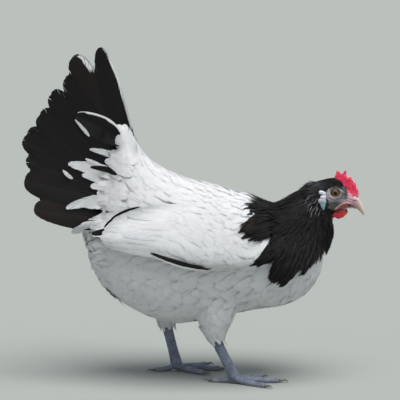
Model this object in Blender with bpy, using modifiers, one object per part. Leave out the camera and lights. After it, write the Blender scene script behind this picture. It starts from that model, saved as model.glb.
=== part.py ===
"""A hen of the Lakenvelder breed, life size, as a still museum model that stands on the plane z = 0.

The hen looks along +X and its left side is +Y. Each part of the body that has a name is one closed
solid, so the outline of the feathers is the outline of the solids. Where two parts meet, one of them
is cut back to leave GAP between them. Lengths below are in millimetres and are scaled by MM.
"""

import math
from collections import namedtuple

import bmesh
import bpy
from mathutils import Matrix, Vector

MM = 0.001
GAP = 0.3

# ---------------------------------------------------------------- driving dimensions, in millimetres
BODY_HALF_WIDTH = 68.0          # trunk at its widest, without the wings
EYE_RADIUS = 5.6
EYE_CENTRE = Vector((161.8, 12.0, 226.6))
COMB_THICKNESS = 3.4
SHANK_LENGTH = 65.0             # from hock to ankle
CUFF_LENGTH = 17.0              # how far the thigh's feathers hang over the shank
FOOT_SPREAD = 37.0              # from the middle plane to each foot
HACKLE_DEPTH = 3.6              # how far the neck feathers stand off the shoulders
HACKLE_CENTRE = (120.0, 188.0)  # x and z of the point that the neck feathers' edge runs round
TAIL_ROOT = Vector((-84.0, 0.0, 226.0))
TAIL_WIDTH = 37.0               # one feather's vanes, from edge to edge
TAIL_TENT = 0.28                # how steeply the vanes of one half lean outwards
VANE_THICKNESS = 1.0            # at the edge of a tail feather
VANE_CAMBER = 1.4               # how far a tail feather's edges bend inwards from its shaft
SHAFT_HEIGHT = 1.0              # how far the shaft stands out of the vane's middle, on each face
ANKLE_HEIGHT = 8.5
TOE_RADIUS = 4.6
TOE_END = 2.0                   # the blunt end of a toe, round the root of its claw
SOLE_DEPTH = 0.5                # how much of a toe's round underside is cut flat for the floor
CLAW_LENGTH = 11.0

TUBE_SIDES = 6                  # faces round a toe or a claw

SIDES = ((1, "left"), (-1, "right"))

# Neighbouring faces that differ by less than this angle, in radians, count as one flat face.
FLAT_WITHIN = math.radians(1.0)

# A station is one cross-section: its highest and lowest point as (x, y, z) and its half-width along Y.
Station = namedtuple("Station", "top bottom half_width")

# ---------------------------------------------------------------- colours: (red, green, blue), roughness
FINISHES = {
    "white_plumage": ((0.86, 0.87, 0.86), 0.85),
    "black_plumage": ((0.012, 0.012, 0.014), 0.55),
    "comb_skin": ((0.72, 0.035, 0.06), 0.45),
    "lobe_skin": ((0.66, 0.76, 0.84), 0.5),
    "beak_horn": ((0.62, 0.46, 0.40), 0.35),
    "eye": ((0.16, 0.06, 0.01), 0.08),
    "slate_leg": ((0.16, 0.19, 0.27), 0.5),
    "claw_horn": ((0.30, 0.27, 0.27), 0.4),
}


# ---------------------------------------------------------------- scene and object helpers
def clear_scene():
    """Removes every object of the scene."""
    for obj in list(bpy.data.objects):
        bpy.data.objects.remove(obj, do_unlink=True)


def new_collection(name):
    """Makes a collection under the scene's own one."""
    collection = bpy.data.collections.new(name)
    bpy.context.scene.collection.children.link(collection)
    return collection


def make_finish(name):
    """A Principled BSDF material with the colour and roughness of FINISHES."""
    colour, roughness = FINISHES[name]
    material = bpy.data.materials.new(name)
    material.use_nodes = True
    shader = material.node_tree.nodes["Principled BSDF"]
    shader.inputs["Base Color"].default_value = (*colour, 1.0)
    shader.inputs["Roughness"].default_value = roughness
    shader.inputs["Metallic"].default_value = 0.0
    return material


def link_mesh(name, bm):
    """Writes bm, whose lengths are in millimetres, to a new object in metres."""
    bmesh.ops.scale(bm, vec=(MM, MM, MM), verts=bm.verts)
    mesh = bpy.data.meshes.new(name)
    bm.to_mesh(mesh)
    bm.free()
    obj = bpy.data.objects.new(name, mesh)
    PARTS.objects.link(obj)
    return obj


def face_outwards(bm):
    """Turns every face of a closed mesh to point out of it."""
    bmesh.ops.recalc_face_normals(bm, faces=bm.faces)
    if bm.calc_volume(signed=True) < 0:
        bmesh.ops.reverse_faces(bm, faces=bm.faces)


def freeze(obj):
    """Replaces obj's mesh by what its modifiers make of it."""
    graph = bpy.context.evaluated_depsgraph_get()
    mesh = bpy.data.meshes.new_from_object(obj.evaluated_get(graph))
    obj.modifiers.clear()
    obj.data = mesh
    return obj


def combine(obj, other, operation, solver="EXACT"):
    """Applies a Boolean of other to obj, and removes other."""
    modifier = obj.modifiers.new(operation.lower(), "BOOLEAN")
    modifier.operation = operation
    modifier.solver = solver
    modifier.object = other
    freeze(obj)
    bpy.data.objects.remove(other, do_unlink=True)
    return obj


def copy_of(form, name):
    """A new part with the shape of a form."""
    part = bpy.data.objects.new(name, form.data.copy())
    PARTS.objects.link(part)
    return part


def grown(form, by):
    """A copy of a form with its surface moved outwards by a distance in millimetres."""
    copy = copy_of(form, form.name + "_grown")
    bm = bmesh.new()
    bm.from_mesh(copy.data)
    bm.normal_update()
    moved = [vert.co + vert.normal * (by * MM) for vert in bm.verts]
    for vert, place in zip(bm.verts, moved):
        vert.co = place
    bm.to_mesh(copy.data)
    bm.free()
    return copy


def fit_against(obj, *forms):
    """Cuts obj back so that it stays GAP clear of each form, and drops the crumbs that a cut leaves."""
    for form in forms:
        combine(obj, grown(form, GAP), "DIFFERENCE")
    bm = bmesh.new()
    bm.from_mesh(obj.data)
    bmesh.ops.remove_doubles(bm, verts=bm.verts, dist=1e-6)
    islands = sorted(islands_of(bm), key=len, reverse=True)
    bmesh.ops.delete(bm, geom=[vert for island in islands[1:] for vert in island], context="VERTS")
    bm.to_mesh(obj.data)
    bm.free()
    return obj


def islands_of(bm):
    """The sets of vertices that hang together."""
    unseen, islands = set(bm.verts), []
    while unseen:
        island, waiting = set(), [unseen.pop()]
        while waiting:
            vert = waiting.pop()
            island.add(vert)
            joined = {edge.other_vert(vert) for edge in vert.link_edges} & unseen
            unseen -= joined
            waiting.extend(joined)
        islands.append(island)
    return islands


def finish(obj, material, smooth_angle=50.0):
    """Joins the flat faces that cuts have split, and gives obj its material and smooth shading."""
    bm = bmesh.new()
    bm.from_mesh(obj.data)
    bmesh.ops.dissolve_limit(bm, angle_limit=FLAT_WITHIN, verts=bm.verts, edges=bm.edges)
    bmesh.ops.triangulate(bm, faces=bm.faces)
    bm.to_mesh(obj.data)
    bm.free()
    obj.data.materials.clear()
    obj.data.materials.append(MATERIALS[material])
    obj.data.shade_smooth()
    obj.data.set_sharp_from_angle(angle=math.radians(smooth_angle))
    return obj


# ---------------------------------------------------------------- shape helpers
def blend(before, start, end, after, t):
    """The Catmull-Rom value at t between start and end."""
    return 0.5 * (
        2 * start
        + (end - before) * t
        + (2 * before - 5 * start + 4 * end - after) * t * t
        + (3 * start - before - 3 * end + after) * t * t * t
    )


def smooth_run(stations, per_span):
    """The stations with others on a smooth curve between them."""
    points = [(Vector(s.top), Vector(s.bottom), s.half_width) for s in stations]
    padded = [points[0], *points, points[-1]]
    run = []
    for four in zip(padded, padded[1:], padded[2:], padded[3:]):
        for step in range(per_span):
            run.append(Station(*(blend(*values, step / per_span) for values in zip(*four))))
    run.append(Station(*points[-1]))
    return run


def bridge_rings(name, rings):
    """A closed skin of triangles over rings with the same number of points each."""
    bm = bmesh.new()
    loops = [[bm.verts.new(point) for point in ring] for ring in rings]
    for first, second in zip(loops, loops[1:]):
        for k in range(len(first)):
            after = (k + 1) % len(first)
            bm.faces.new((first[k], first[after], second[after], second[k]))
    bm.faces.new(reversed(loops[0]))
    bm.faces.new(loops[-1])
    bmesh.ops.triangulate(bm, faces=bm.faces)
    face_outwards(bm)
    return link_mesh(name, bm)


def loft(name, stations, around, per_span=1, low=0.0, squareness=1.0):
    """A body through the stations, with around points to a section and per_span sections to a station.

    low moves the widest line up, or down where it is negative. squareness under 1 makes fuller sections.
    """
    rings = []
    for top, bottom, half_width in smooth_run(stations, per_span):
        centre, rise = (top + bottom) / 2, (top - bottom) / 2
        ring = []
        for k in range(around):
            turn = 2 * math.pi * k / around
            up, out = math.cos(turn), math.sin(turn)
            out = math.copysign(abs(out) ** squareness, out)
            up += low * (1 - up * up)
            ring.append(centre + rise * up + Vector((0, half_width * out, 0)))
        rings.append(ring)
    return bridge_rings(name, rings)


def tube(name, points, radii):
    """A solid tube along points, whose radius changes from point to point, with closed ends."""
    curve = bpy.data.curves.new(name, "CURVE")
    curve.dimensions = "3D"
    curve.bevel_depth = MM
    curve.bevel_resolution = (TUBE_SIDES - 4) // 2
    curve.use_fill_caps = True
    spline = curve.splines.new("POLY")
    spline.points.add(len(points) - 1)
    for knot, point, radius in zip(spline.points, points, radii):
        knot.co = (*(point * MM), 1.0)
        knot.radius = radius
    return mesh_from_curve(name, curve)


def mesh_from_curve(name, curve, place=Matrix.Identity(4)):
    """The mesh object that a curve's bevel or extrusion makes, with its caps welded on."""
    drawn = bpy.data.objects.new(name + "_curve", curve)
    PARTS.objects.link(drawn)
    graph = bpy.context.evaluated_depsgraph_get()
    mesh = bpy.data.meshes.new_from_object(drawn.evaluated_get(graph))
    bpy.data.objects.remove(drawn, do_unlink=True)
    bm = bmesh.new()
    bm.from_mesh(mesh)
    bmesh.ops.remove_doubles(bm, verts=bm.verts, dist=1e-6)
    bmesh.ops.transform(bm, matrix=place, verts=bm.verts)
    face_outwards(bm)
    bm.to_mesh(mesh)
    bm.free()
    obj = bpy.data.objects.new(name, mesh)
    PARTS.objects.link(obj)
    return obj


def plate(name, outline, half_thickness):
    """A flat plate that stands in the XZ plane, from its outline as (x, z) points."""
    curve = bpy.data.curves.new(name, "CURVE")
    curve.dimensions = "2D"
    curve.fill_mode = "BOTH"
    curve.extrude = half_thickness * MM
    spline = curve.splines.new("POLY")
    spline.points.add(len(outline) - 1)
    spline.use_cyclic_u = True
    for knot, (x, z) in zip(spline.points, outline):
        knot.co = (x * MM, z * MM, 0.0, 1.0)
    return mesh_from_curve(name, curve, Matrix.Rotation(math.radians(90), 4, "X"))


def ball(name, centre, radii):
    """An ellipsoid."""
    bm = bmesh.new()
    bmesh.ops.create_uvsphere(bm, u_segments=14, v_segments=8, radius=1.0)
    bmesh.ops.scale(bm, vec=radii, verts=bm.verts)
    bmesh.ops.translate(bm, vec=centre, verts=bm.verts)
    return link_mesh(name, bm)


def flank(side, x, y, z):
    """A point on the left side of the body where side is 1, and on the right where it is -1."""
    return Vector((x, side * y, z))


# ---------------------------------------------------------------- forms: whole shapes before any cut
def trunk_form():
    """Breast, back, belly and the raised cushion in front of the tail, as one egg-like body."""
    w = BODY_HALF_WIDTH
    stations = [
        Station((-90, 0, 299), (-143, 0, 182), 0.12 * w),
        Station((-83, 0, 300), (-137, 0, 168), 0.34 * w),
        Station((-70, 0, 278), (-129, 0, 142), 0.58 * w),
        Station((-53, 0, 261), (-108, 0, 104), 0.79 * w),
        Station((-18, 0, 244), (-66, 0, 77), 0.95 * w),
        Station((14, 0, 237), (-25, 0, 67), w),
        Station((47, 0, 226), (22, 0, 75), w),
        Station((72, 0, 214), (64, 0, 84), 0.96 * w),
        Station((96, 0, 205), (100, 0, 89), 0.86 * w),
        Station((118, 0, 195), (128, 0, 103), 0.70 * w),
        Station((137, 0, 178), (145, 0, 128), 0.48 * w),
        Station((148, 0, 161), (151, 0, 147), 0.17 * w),
    ]
    return loft("trunk_form", stations, around=20, per_span=2, low=-0.06, squareness=0.92)


def neck_form():
    """The neck itself, from behind the ears down into the shoulders."""
    stations = [
        Station((125, 0, 233), (161, 0, 187), 20.5),
        Station((113, 0, 225.5), (161, 0, 174), 27),
        Station((101, 0, 217), (157, 0, 160), 35),
        Station((88, 0, 211), (150, 0, 145), 45),
        Station((76, 0, 198), (132, 0, 136), 48),
    ]
    return loft("neck_form", stations, around=16, squareness=0.95)


def head_form():
    """The skull with its face and crown feathers."""
    stations = [
        Station((112, 0, 224), (148, 0, 186), 17.0),
        Station((126, 0, 233), (157, 0, 189), 18.5),
        Station((139, 0, 238.5), (161, 0, 195), 18),
        Station((151, 0, 241.5), (164, 0, 200), 17),
        Station((161, 0, 243.5), (167, 0, 203), 15.6),
        Station((169, 0, 239.5), (171, 0, 205), 13.8),
        Station((176, 0, 232), (176, 0, 206.5), 11.2),
        Station((181, 0, 225.5), (180, 0, 208), 8.6),
        Station((184.5, 0, 221), (184, 0, 211), 5.6),
    ]
    return loft("head_form", stations, around=18, low=0.06)


def beak_forms():
    """The hooked upper beak and the shorter lower beak under it."""
    upper = [
        Station((176, 0, 222), (170, 0, 212), 8.0),
        Station((187, 0, 221.5), (178, 0, 210.6), 7.2),
        Station((191.2, 0, 218), (184, 0, 209), 5.8),
        Station((194.6, 0, 212), (188.5, 0, 206), 4.4),
        Station((197.4, 0, 205), (193, 0, 202), 2.8),
        Station((198.4, 0, 199), (196.4, 0, 198), 1.2),
    ]
    lower = [
        Station((168, 0, 211), (168, 0, 202.6), 7.2),
        Station((176, 0, 211), (176.5, 0, 204.2), 6.0),
        Station((183, 0, 209), (183.5, 0, 205.2), 4.2),
        Station((188, 0, 206.6), (188, 0, 204.4), 2.2),
    ]
    return loft("upper_form", upper, around=12), loft("lower_form", lower, around=10)


def wing_form(side):
    """A folded wing: full at the shoulder, with its lower edge and tip standing off the flank."""
    stations = [
        Station(flank(side, 92, 44, 188), flank(side, 93, 52, 166), 3.0),
        Station(flank(side, 78, 42, 206), flank(side, 80, 65, 150), 12.0),
        Station(flank(side, 48, 39, 217), flank(side, 49, 71, 143), 16.5),
        Station(flank(side, 15, 36, 224), flank(side, 15, 72, 143), 17.5),
        Station(flank(side, -20, 34, 226), flank(side, -20, 71, 149), 17.5),
        Station(flank(side, -55, 32, 222), flank(side, -55, 66, 158), 16.5),
        Station(flank(side, -85, 30, 211), flank(side, -86, 57, 165), 14.0),
        Station(flank(side, -107, 30, 198), flank(side, -110, 48, 170), 9.0),
        Station(flank(side, -121, 36, 185), flank(side, -122, 41, 176), 3.0),
    ]
    return loft("wing_form", stations, around=16, low=-0.1)


def leg_places(side):
    """The hock and the ankle of one leg. The right leg stands forward and the left one back."""
    ankle_x, lean = (41.0, 26.0) if side < 0 else (-28.4, 14.0)
    ankle = flank(side, ankle_x, FOOT_SPREAD, ANKLE_HEIGHT)
    lean = math.radians(lean)
    hock = ankle + SHANK_LENGTH * Vector((-math.sin(lean), 0.0, math.cos(lean)))
    return hock, ankle


def thigh_form(side):
    """The feathered drumstick, from the flank down to a cuff over the hock."""
    hock, ankle = leg_places(side)
    cuff = hock + (ankle - hock).normalized() * CUFF_LENGTH
    stations = [
        Station(hock + Vector((-21, -side * 2, 54)), hock + Vector((35, -side * 2, 58)), 20),
        Station(hock + Vector((-22, -side * 1, 34)), hock + Vector((35, -side * 1, 34)), 21),
        Station(hock + Vector((-16, 0, 14)), hock + Vector((30, 0, 14)), 18),
        Station(hock + Vector((-10, 0, -4)), hock + Vector((20, 0, -4)), 13),
        Station(cuff + Vector((-8, 0, 0)), cuff + Vector((9.6, 0, 0)), 8.4),
    ]
    return loft("thigh_form", stations, around=14)


# ---------------------------------------------------------------- head, neck and what they carry
HACKLE_EDGE = (
    # (turn in degrees, reach) round HACKLE_CENTRE, from the nape over the shoulder to the breast:
    # the long locks on the shoulder part widely, and the feathers of the breast are shorter
    (150, 76), (155, 78.5), (159, 65), (163, 69), (167, 64), (175, 76), (185, 59), (192.5, 40),
    (205, 56), (214, 69), (219, 68), (229, 46), (234, 66), (240, 74), (245, 68), (252, 74.5),
    (259, 61), (266, 54), (273, 57), (281, 50), (295, 50), (300, 46), (305, 51), (318, 42),
)


def hackle_outline():
    """The side outline of the neck feathers where they lie on the shoulders, with their locks.

    The first three points go round the head, clear of it. The rest follow HACKLE_EDGE.
    """
    centre_x, centre_z = HACKLE_CENTRE
    outline = [(210.0, 170.0), (210.0, 262.0), (70.0, 262.0)]
    for turn, reach in HACKLE_EDGE:
        turn = math.radians(turn)
        outline.append((centre_x + reach * math.cos(turn), centre_z + reach * math.sin(turn)))
    return outline


def build_neck(forms):
    """The neck with its hackle, a cape of narrow feathers that ends in points on the shoulders."""
    neck = copy_of(forms["neck"], "neck")
    shoulders = grown(forms["trunk"], HACKLE_DEPTH)
    for wing in forms["wings"]:
        combine(shoulders, grown(wing, HACKLE_DEPTH), "UNION")
    combine(shoulders, plate("cape_outline", hackle_outline(), 2 * BODY_HALF_WIDTH), "INTERSECT")
    combine(neck, shoulders, "UNION")
    return fit_against(neck, forms["trunk"], *forms["wings"])


def build_eyes():
    """Both eyeballs, which the head is hollowed to hold."""
    flattened = 0.86
    radii = (EYE_RADIUS, EYE_RADIUS * flattened, EYE_RADIUS)
    return [
        ball(name, flank(side, *EYE_CENTRE), radii)
        for side, name in ((1, "eye_left"), (-1, "eye_right"))
    ]


def build_comb(forms):
    """The single upright comb: a thin blade along the skull with its points in a row."""
    teeth = [(165.0, 254.5), (174.8, 254.8), (180.6, 246.5), (185.6, 238.0), (189.0, 230.0)]
    valleys = [(170.4, 247.6), (176.6, 243.8), (182.2, 238.4), (186.6, 232.0)]
    outline = [(160.5, 239.0), (162.4, 247.5)]
    for k, (x, z) in enumerate(teeth):
        outline += [(x - 1.3, z - 1.6), (x, z), (x + 1.3, z - 1.4)]
        if k < len(valleys):
            outline.append(valleys[k])
    outline += [(190.6, 224.0), (190.0, 219.0), (184.0, 216.0), (174.0, 226.0), (166.0, 238.0)]
    comb = plate("comb", outline, COMB_THICKNESS / 2)
    edge = comb.modifiers.new("soft_edge", "BEVEL")
    edge.width = COMB_THICKNESS / 4 * MM
    edge.segments = 1
    edge.limit_method = "ANGLE"
    edge.angle_limit = math.radians(60)
    return fit_against(freeze(comb), forms["head"], forms["beak_upper"])


def build_wattle(side, name, forms):
    """One of the two small lobes that hang under the beak."""
    stations = [
        Station(flank(side, 157.5, 6.2, 203.6), flank(side, 157.5, 6.6, 201.6), 0.8),
        Station(flank(side, 161.0, 6.2, 206.0), flank(side, 161.0, 7.6, 196.6), 2.0),
        Station(flank(side, 166.0, 6.0, 207.0), flank(side, 166.0, 8.0, 194.4), 2.4),
        Station(flank(side, 172.0, 5.6, 206.4), flank(side, 172.0, 7.4, 196.4), 2.2),
        Station(flank(side, 177.4, 5.0, 204.6), flank(side, 177.4, 5.6, 201.4), 1.0),
    ]
    return fit_against(loft(name, stations, around=10), forms["head"], forms["beak_lower"])


def build_earlobe(side, name, forms):
    """The pale oval lobe behind and below one eye."""
    stations = [
        Station(flank(side, 143.4, 15.6, 231.6), flank(side, 146.0, 15.6, 230.6), 0.8),
        Station(flank(side, 141.6, 16.8, 226.0), flank(side, 149.8, 16.8, 225.0), 3.0),
        Station(flank(side, 143.0, 17.4, 217.8), flank(side, 151.4, 17.4, 217.2), 3.4),
        Station(flank(side, 145.8, 17.0, 209.5), flank(side, 150.6, 17.0, 209.0), 3.0),
        Station(flank(side, 147.8, 16.0, 204.6), flank(side, 148.8, 16.0, 204.4), 0.8),
    ]
    return fit_against(loft(name, stations, around=10), forms["head"], forms["neck"])


def build_head_parts(forms):
    """The head and all that it carries, each with its finish."""
    eyes = build_eyes()
    head = fit_against(copy_of(forms["head"], "head"), forms["neck"], *eyes)
    beak_upper = fit_against(copy_of(forms["beak_upper"], "beak_upper"), forms["head"])
    beak_lower = copy_of(forms["beak_lower"], "beak_lower")
    fit_against(beak_lower, forms["head"], forms["beak_upper"])
    finish(head, "black_plumage")
    finish(beak_upper, "beak_horn")
    finish(beak_lower, "beak_horn")
    finish(build_comb(forms), "comb_skin")
    for eye in eyes:
        finish(eye, "eye")
    for side, word in SIDES:
        finish(build_wattle(side, f"wattle_{word}", forms), "comb_skin")
        finish(build_earlobe(side, f"earlobe_{word}", forms), "lobe_skin")


# ---------------------------------------------------------------- tail
TAIL_FEATHERS = (
    # one pair each, from the highest to the lowest:
    # (angle in degrees up from straight ahead, length, width as a share of TAIL_WIDTH)
    (102.0, 176.0, 0.80),
    (110.5, 177.0, 0.95),
    (121.5, 157.0, 1.0),
    (131.5, 152.0, 1.0),
    (141.0, 147.0, 1.0),
    (151.0, 146.0, 1.0),
    (161.0, 134.0, 1.0),
    (171.0, 129.0, 1.0),
    (184.0, 119.0, 0.9),
)


def tail_feather(side, pair):
    """One broad tail feather with a round tip, a raised shaft and vanes that bend inwards.

    Its sections are closest together near the tip, where the vanes round off.
    """
    rise, length, width = TAIL_FEATHERS[pair]
    share = pair / (len(TAIL_FEATHERS) - 1)
    rise = math.radians(rise)
    splay = math.radians(2.0 + 18.0 * share)
    level = math.cos(splay)
    along = Vector((math.cos(rise) * level, side * math.sin(splay), math.sin(rise) * level))
    across = Vector((-math.sin(rise), side * TAIL_TENT, math.cos(rise))).normalized()
    outward = across.cross(along).normalized()
    outward *= side * math.copysign(1.0, outward.y)
    start = TAIL_ROOT + Vector((0, side * (0.9 + 1.2 * pair), -14.0 * share * share))
    under = outward * (VANE_CAMBER + VANE_THICKNESS / 2)
    over = outward * (VANE_CAMBER - VANE_THICKNESS / 2)
    crest = outward * SHAFT_HEIGHT
    steps, narrowest = 5, 1.6
    rings = []
    for k in range(steps + 1):
        t = 1.0 - (1.0 - k / steps) ** 2
        taper = min(1.0, 0.30 + 1.1 * t) * math.sqrt(1.0 - t**7)
        half = across * max(width * TAIL_WIDTH / 2 * taper, narrowest)
        middle = start + along * (length * t)
        upper, lower = middle + half, middle - half
        rings.append([upper - under, middle - crest, lower - under, lower - over, middle + crest, upper - over])
    return bridge_rings("feather", rings)


def build_tail(forms):
    """The raised tail: two fans of broad feathers that lean together along the top like a tent."""
    stations = [
        Station((-70, 0, 290), (-112, 0, 184), 20),
        Station((-98, 0, 300), (-146, 0, 188), 33),
        Station((-120, 0, 292), (-164, 0, 196), 32),
        Station((-144, 0, 280), (-180, 0, 210), 14),
    ]
    tail = loft("tail", stations, around=12, low=-0.4)
    for pair in range(len(TAIL_FEATHERS)):
        for side, _ in SIDES:
            # The EXACT solver leaves open edges where this many thin vanes run into one another.
            combine(tail, tail_feather(side, pair), "UNION", solver="MANIFOLD")
    return fit_against(tail, forms["trunk"], *forms["wings"])


# ---------------------------------------------------------------- legs
TOES = {
    # name: (turn in degrees from straight ahead to the inner side, length, share of TOE_RADIUS)
    "middle": (3.0, 52.0, 1.0),
    "inner": (38.0, 40.0, 0.95),
    "outer": (-36.0, 43.0, 0.92),
    "hind": (166.0, 25.0, 0.85),
}


def toe_line(side, toe):
    """The points of a toe's middle line, the radii there and its direction along the floor."""
    _, ankle = leg_places(side)
    turn, length, share = TOES[toe]
    turn = math.radians(-side * turn)
    ahead = Vector((math.cos(turn), math.sin(turn), 0.0))
    radius = TOE_RADIUS * share
    first_height = radius + (3.0 if toe == "hind" else 1.2)
    points, radii = [], []
    knuckles = 5
    for k in range(knuckles + 1):
        t = k / knuckles
        size = radius * (1.0 - 0.30 * t) * (1.0 + 0.07 * math.cos(4 * math.pi * t))
        settle = min(1.0, 2.2 * t)
        height = first_height * (1 - settle) + (size - SOLE_DEPTH) * settle
        points.append(Vector((ankle.x, ankle.y, height)) + ahead * (length * t))
        radii.append(size)
    points.append(points[-1] + ahead * TOE_END)
    radii.append(radii[-1] * 0.72)
    return points, radii, ahead


def shank_station(side, share, depth, half_width):
    """A cross-section of the shank, square to it, at a share of the way from hock to ankle."""
    hock, ankle = leg_places(side)
    down = (ankle - hock).normalized()
    fore = Vector((-down.z, 0.0, down.x))
    middle = hock + (ankle - hock) * share
    return Station(middle + fore * depth, middle - fore * depth, half_width)


def build_foot(side, name):
    """The foot: ankle and four toes in one piece, flat where it stands."""
    stations = [
        shank_station(side, 0.90, 6.6, 5.6),
        shank_station(side, 0.98, 7.2, 6.4),
        shank_station(side, 1.06, 6.4, 6.0),
    ]
    foot = loft(name, stations, around=10)
    for toe in TOES:
        points, radii, _ = toe_line(side, toe)
        combine(foot, tube("toe", points, radii), "UNION")
    below, depth = bmesh.new(), 300.0
    bmesh.ops.create_cube(below, size=depth)
    bmesh.ops.translate(below, vec=(0.0, 0.0, -depth / 2), verts=below.verts)
    return combine(foot, link_mesh("floor_cut", below), "DIFFERENCE")


def build_shank(side, name, thigh):
    """The bare shank, deeper than it is wide, from under the thigh's cuff to GAP above the foot."""
    stations = [
        shank_station(side, 0.10, 7.2, 5.6),
        shank_station(side, 0.30, 6.2, 4.9),
        shank_station(side, 0.55, 5.9, 4.7),
        shank_station(side, 0.78, 6.1, 4.9),
        shank_station(side, 0.90 - GAP / SHANK_LENGTH, 6.6, 5.6),
    ]
    return fit_against(loft(name, stations, around=10), thigh)


def build_claw(side, toe, name):
    """A claw that runs straight out of its toe and curves down to a blunt point just off the floor."""
    points, radii, ahead = toe_line(side, toe)
    start = points[-1] + ahead * GAP
    steps, point_height = 3, 1.2
    line, sizes = [], []
    for k in range(steps + 1):
        t = k / steps
        bend = max(0, k - 1) / (steps - 1)
        drop = 1.2 * math.sin(math.pi * bend) + (point_height - start.z) * bend * bend
        line.append(start + ahead * (CLAW_LENGTH * t) + Vector((0, 0, drop)))
        sizes.append(radii[-1] * (0.92 - 0.70 * t))
    return tube(name, line, sizes)


def build_leg(side, word, forms):
    """One leg as thigh, shank, foot and four claws."""
    thigh = thigh_form(side)
    finish(build_shank(side, f"shank_{word}", thigh), "slate_leg")
    finish(build_foot(side, f"foot_{word}"), "slate_leg")
    for toe in TOES:
        finish(build_claw(side, toe, f"claw_{word}_{toe}"), "claw_horn")
    thigh.name = f"thigh_{word}"
    finish(fit_against(thigh, forms["trunk"]), "white_plumage")


# ---------------------------------------------------------------- assembly
def centre_on_origin():
    """Moves the whole hen so that the middle of its box stands over the origin."""
    corners = [vert.co for obj in PARTS.objects for vert in obj.data.vertices]
    low = [min(corner[axis] for corner in corners) for axis in range(3)]
    high = [max(corner[axis] for corner in corners) for axis in range(3)]
    shift = Vector((-(low[0] + high[0]) / 2, -(low[1] + high[1]) / 2, -low[2]))
    for obj in PARTS.objects:
        obj.data.transform(Matrix.Translation(shift))


def build_hen():
    """Builds the whole shapes first, then cuts the parts from them."""
    beak_upper, beak_lower = beak_forms()
    forms = {
        "trunk": trunk_form(),
        "neck": neck_form(),
        "head": head_form(),
        "beak_upper": beak_upper,
        "beak_lower": beak_lower,
        "wings": [wing_form(side) for side, _ in SIDES],
    }
    finish(copy_of(forms["trunk"], "trunk"), "white_plumage")
    finish(build_neck(forms), "black_plumage")
    build_head_parts(forms)
    for (side, word), wing in zip(SIDES, forms["wings"]):
        finish(fit_against(copy_of(wing, f"wing_{word}"), forms["trunk"]), "white_plumage")
        build_leg(side, word, forms)
    finish(build_tail(forms), "black_plumage")
    for form in [*forms.pop("wings"), *forms.values()]:
        bpy.data.objects.remove(form, do_unlink=True)
    centre_on_origin()


clear_scene()
PARTS = new_collection("hen")
MATERIALS = {name: make_finish(name) for name in FINISHES}
build_hen()
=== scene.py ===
"""The looks of a life-size hen of the Lakenvelder breed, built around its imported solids.

One skin takes the place of the solids of flesh. Feathers, scales, horn and eyes are modelled over it.
Lengths are in millimetres, in the hen's own axes: x forwards, y to its left, z up from the floor, with
x counted so that the tip of the beak is at BEAK_REACH. Meshes turn into metres when they are finished.
"""

import logging
import math
from collections.abc import Callable, Iterable, Sequence
from dataclasses import dataclass, field
from enum import Enum
from typing import Any

import bmesh
import bpy
import numpy as np
from mathutils import Euler, Matrix, Vector, noise
from mathutils.bvhtree import BVHTree
from mathutils.kdtree import KDTree


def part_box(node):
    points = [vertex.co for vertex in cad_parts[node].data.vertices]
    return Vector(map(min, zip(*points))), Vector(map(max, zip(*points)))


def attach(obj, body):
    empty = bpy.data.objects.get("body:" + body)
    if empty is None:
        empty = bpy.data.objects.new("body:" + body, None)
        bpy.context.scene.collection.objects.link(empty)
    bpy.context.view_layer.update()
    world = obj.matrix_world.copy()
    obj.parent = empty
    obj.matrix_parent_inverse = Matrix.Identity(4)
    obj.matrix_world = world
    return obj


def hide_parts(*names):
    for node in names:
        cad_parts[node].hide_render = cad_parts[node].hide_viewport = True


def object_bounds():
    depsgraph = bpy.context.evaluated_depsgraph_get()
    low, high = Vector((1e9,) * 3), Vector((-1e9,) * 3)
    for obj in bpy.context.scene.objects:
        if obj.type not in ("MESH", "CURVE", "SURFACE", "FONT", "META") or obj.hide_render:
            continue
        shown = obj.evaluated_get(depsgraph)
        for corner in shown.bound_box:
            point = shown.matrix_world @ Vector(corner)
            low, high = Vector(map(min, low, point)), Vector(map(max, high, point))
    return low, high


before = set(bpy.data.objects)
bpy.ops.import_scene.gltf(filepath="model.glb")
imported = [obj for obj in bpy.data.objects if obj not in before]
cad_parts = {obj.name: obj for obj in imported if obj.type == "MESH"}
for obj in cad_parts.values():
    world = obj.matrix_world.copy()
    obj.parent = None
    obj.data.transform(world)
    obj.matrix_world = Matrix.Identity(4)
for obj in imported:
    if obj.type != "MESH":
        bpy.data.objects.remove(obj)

LOG = logging.getLogger("hen")
MM = 0.001
BEAK_REACH = 198.4
CAD_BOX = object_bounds()
TO_FRAME = Matrix.Translation((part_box("beak_upper")[1].x - BEAK_REACH * MM, 0.0, 0.0)) @ Matrix.Scale(MM, 4)
TO_HEN = TO_FRAME.inverted()

Numbers = Sequence[float]
Pair = tuple[float, float]
Shape = bmesh.types.BMesh
Material = bpy.types.Material
Socket = bpy.types.NodeSocket
Draw = np.random.Generator


class Side(Enum):
    """A side of the body, as the sign of its y."""

    LEFT = 1
    RIGHT = -1

    @property
    def word(self) -> str:
        """The side in the names of nodes and pieces."""
        return self.name.lower()

    def out(self, x: float, y: float, z: float) -> Vector:
        """A place or a direction on this side, given as the left side's."""
        return Vector((x, self.value * y, z))


class Region(Enum):
    """The parts of the coat, each named for the solid that it covers."""

    TRUNK = "trunk"
    NECK = "neck"
    HEAD = "head"
    WING_LEFT = "wing_left"
    WING_RIGHT = "wing_right"
    THIGH_LEFT = "thigh_left"
    THIGH_RIGHT = "thigh_right"
    RUMP = "rump"

    @property
    def kind(self) -> str:
        """The part without its side."""
        return self.value.split("_")[0]


FLESH = [region for region in Region if region is not Region.RUMP]
Test = Callable[[Vector, Region], bool]


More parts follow.
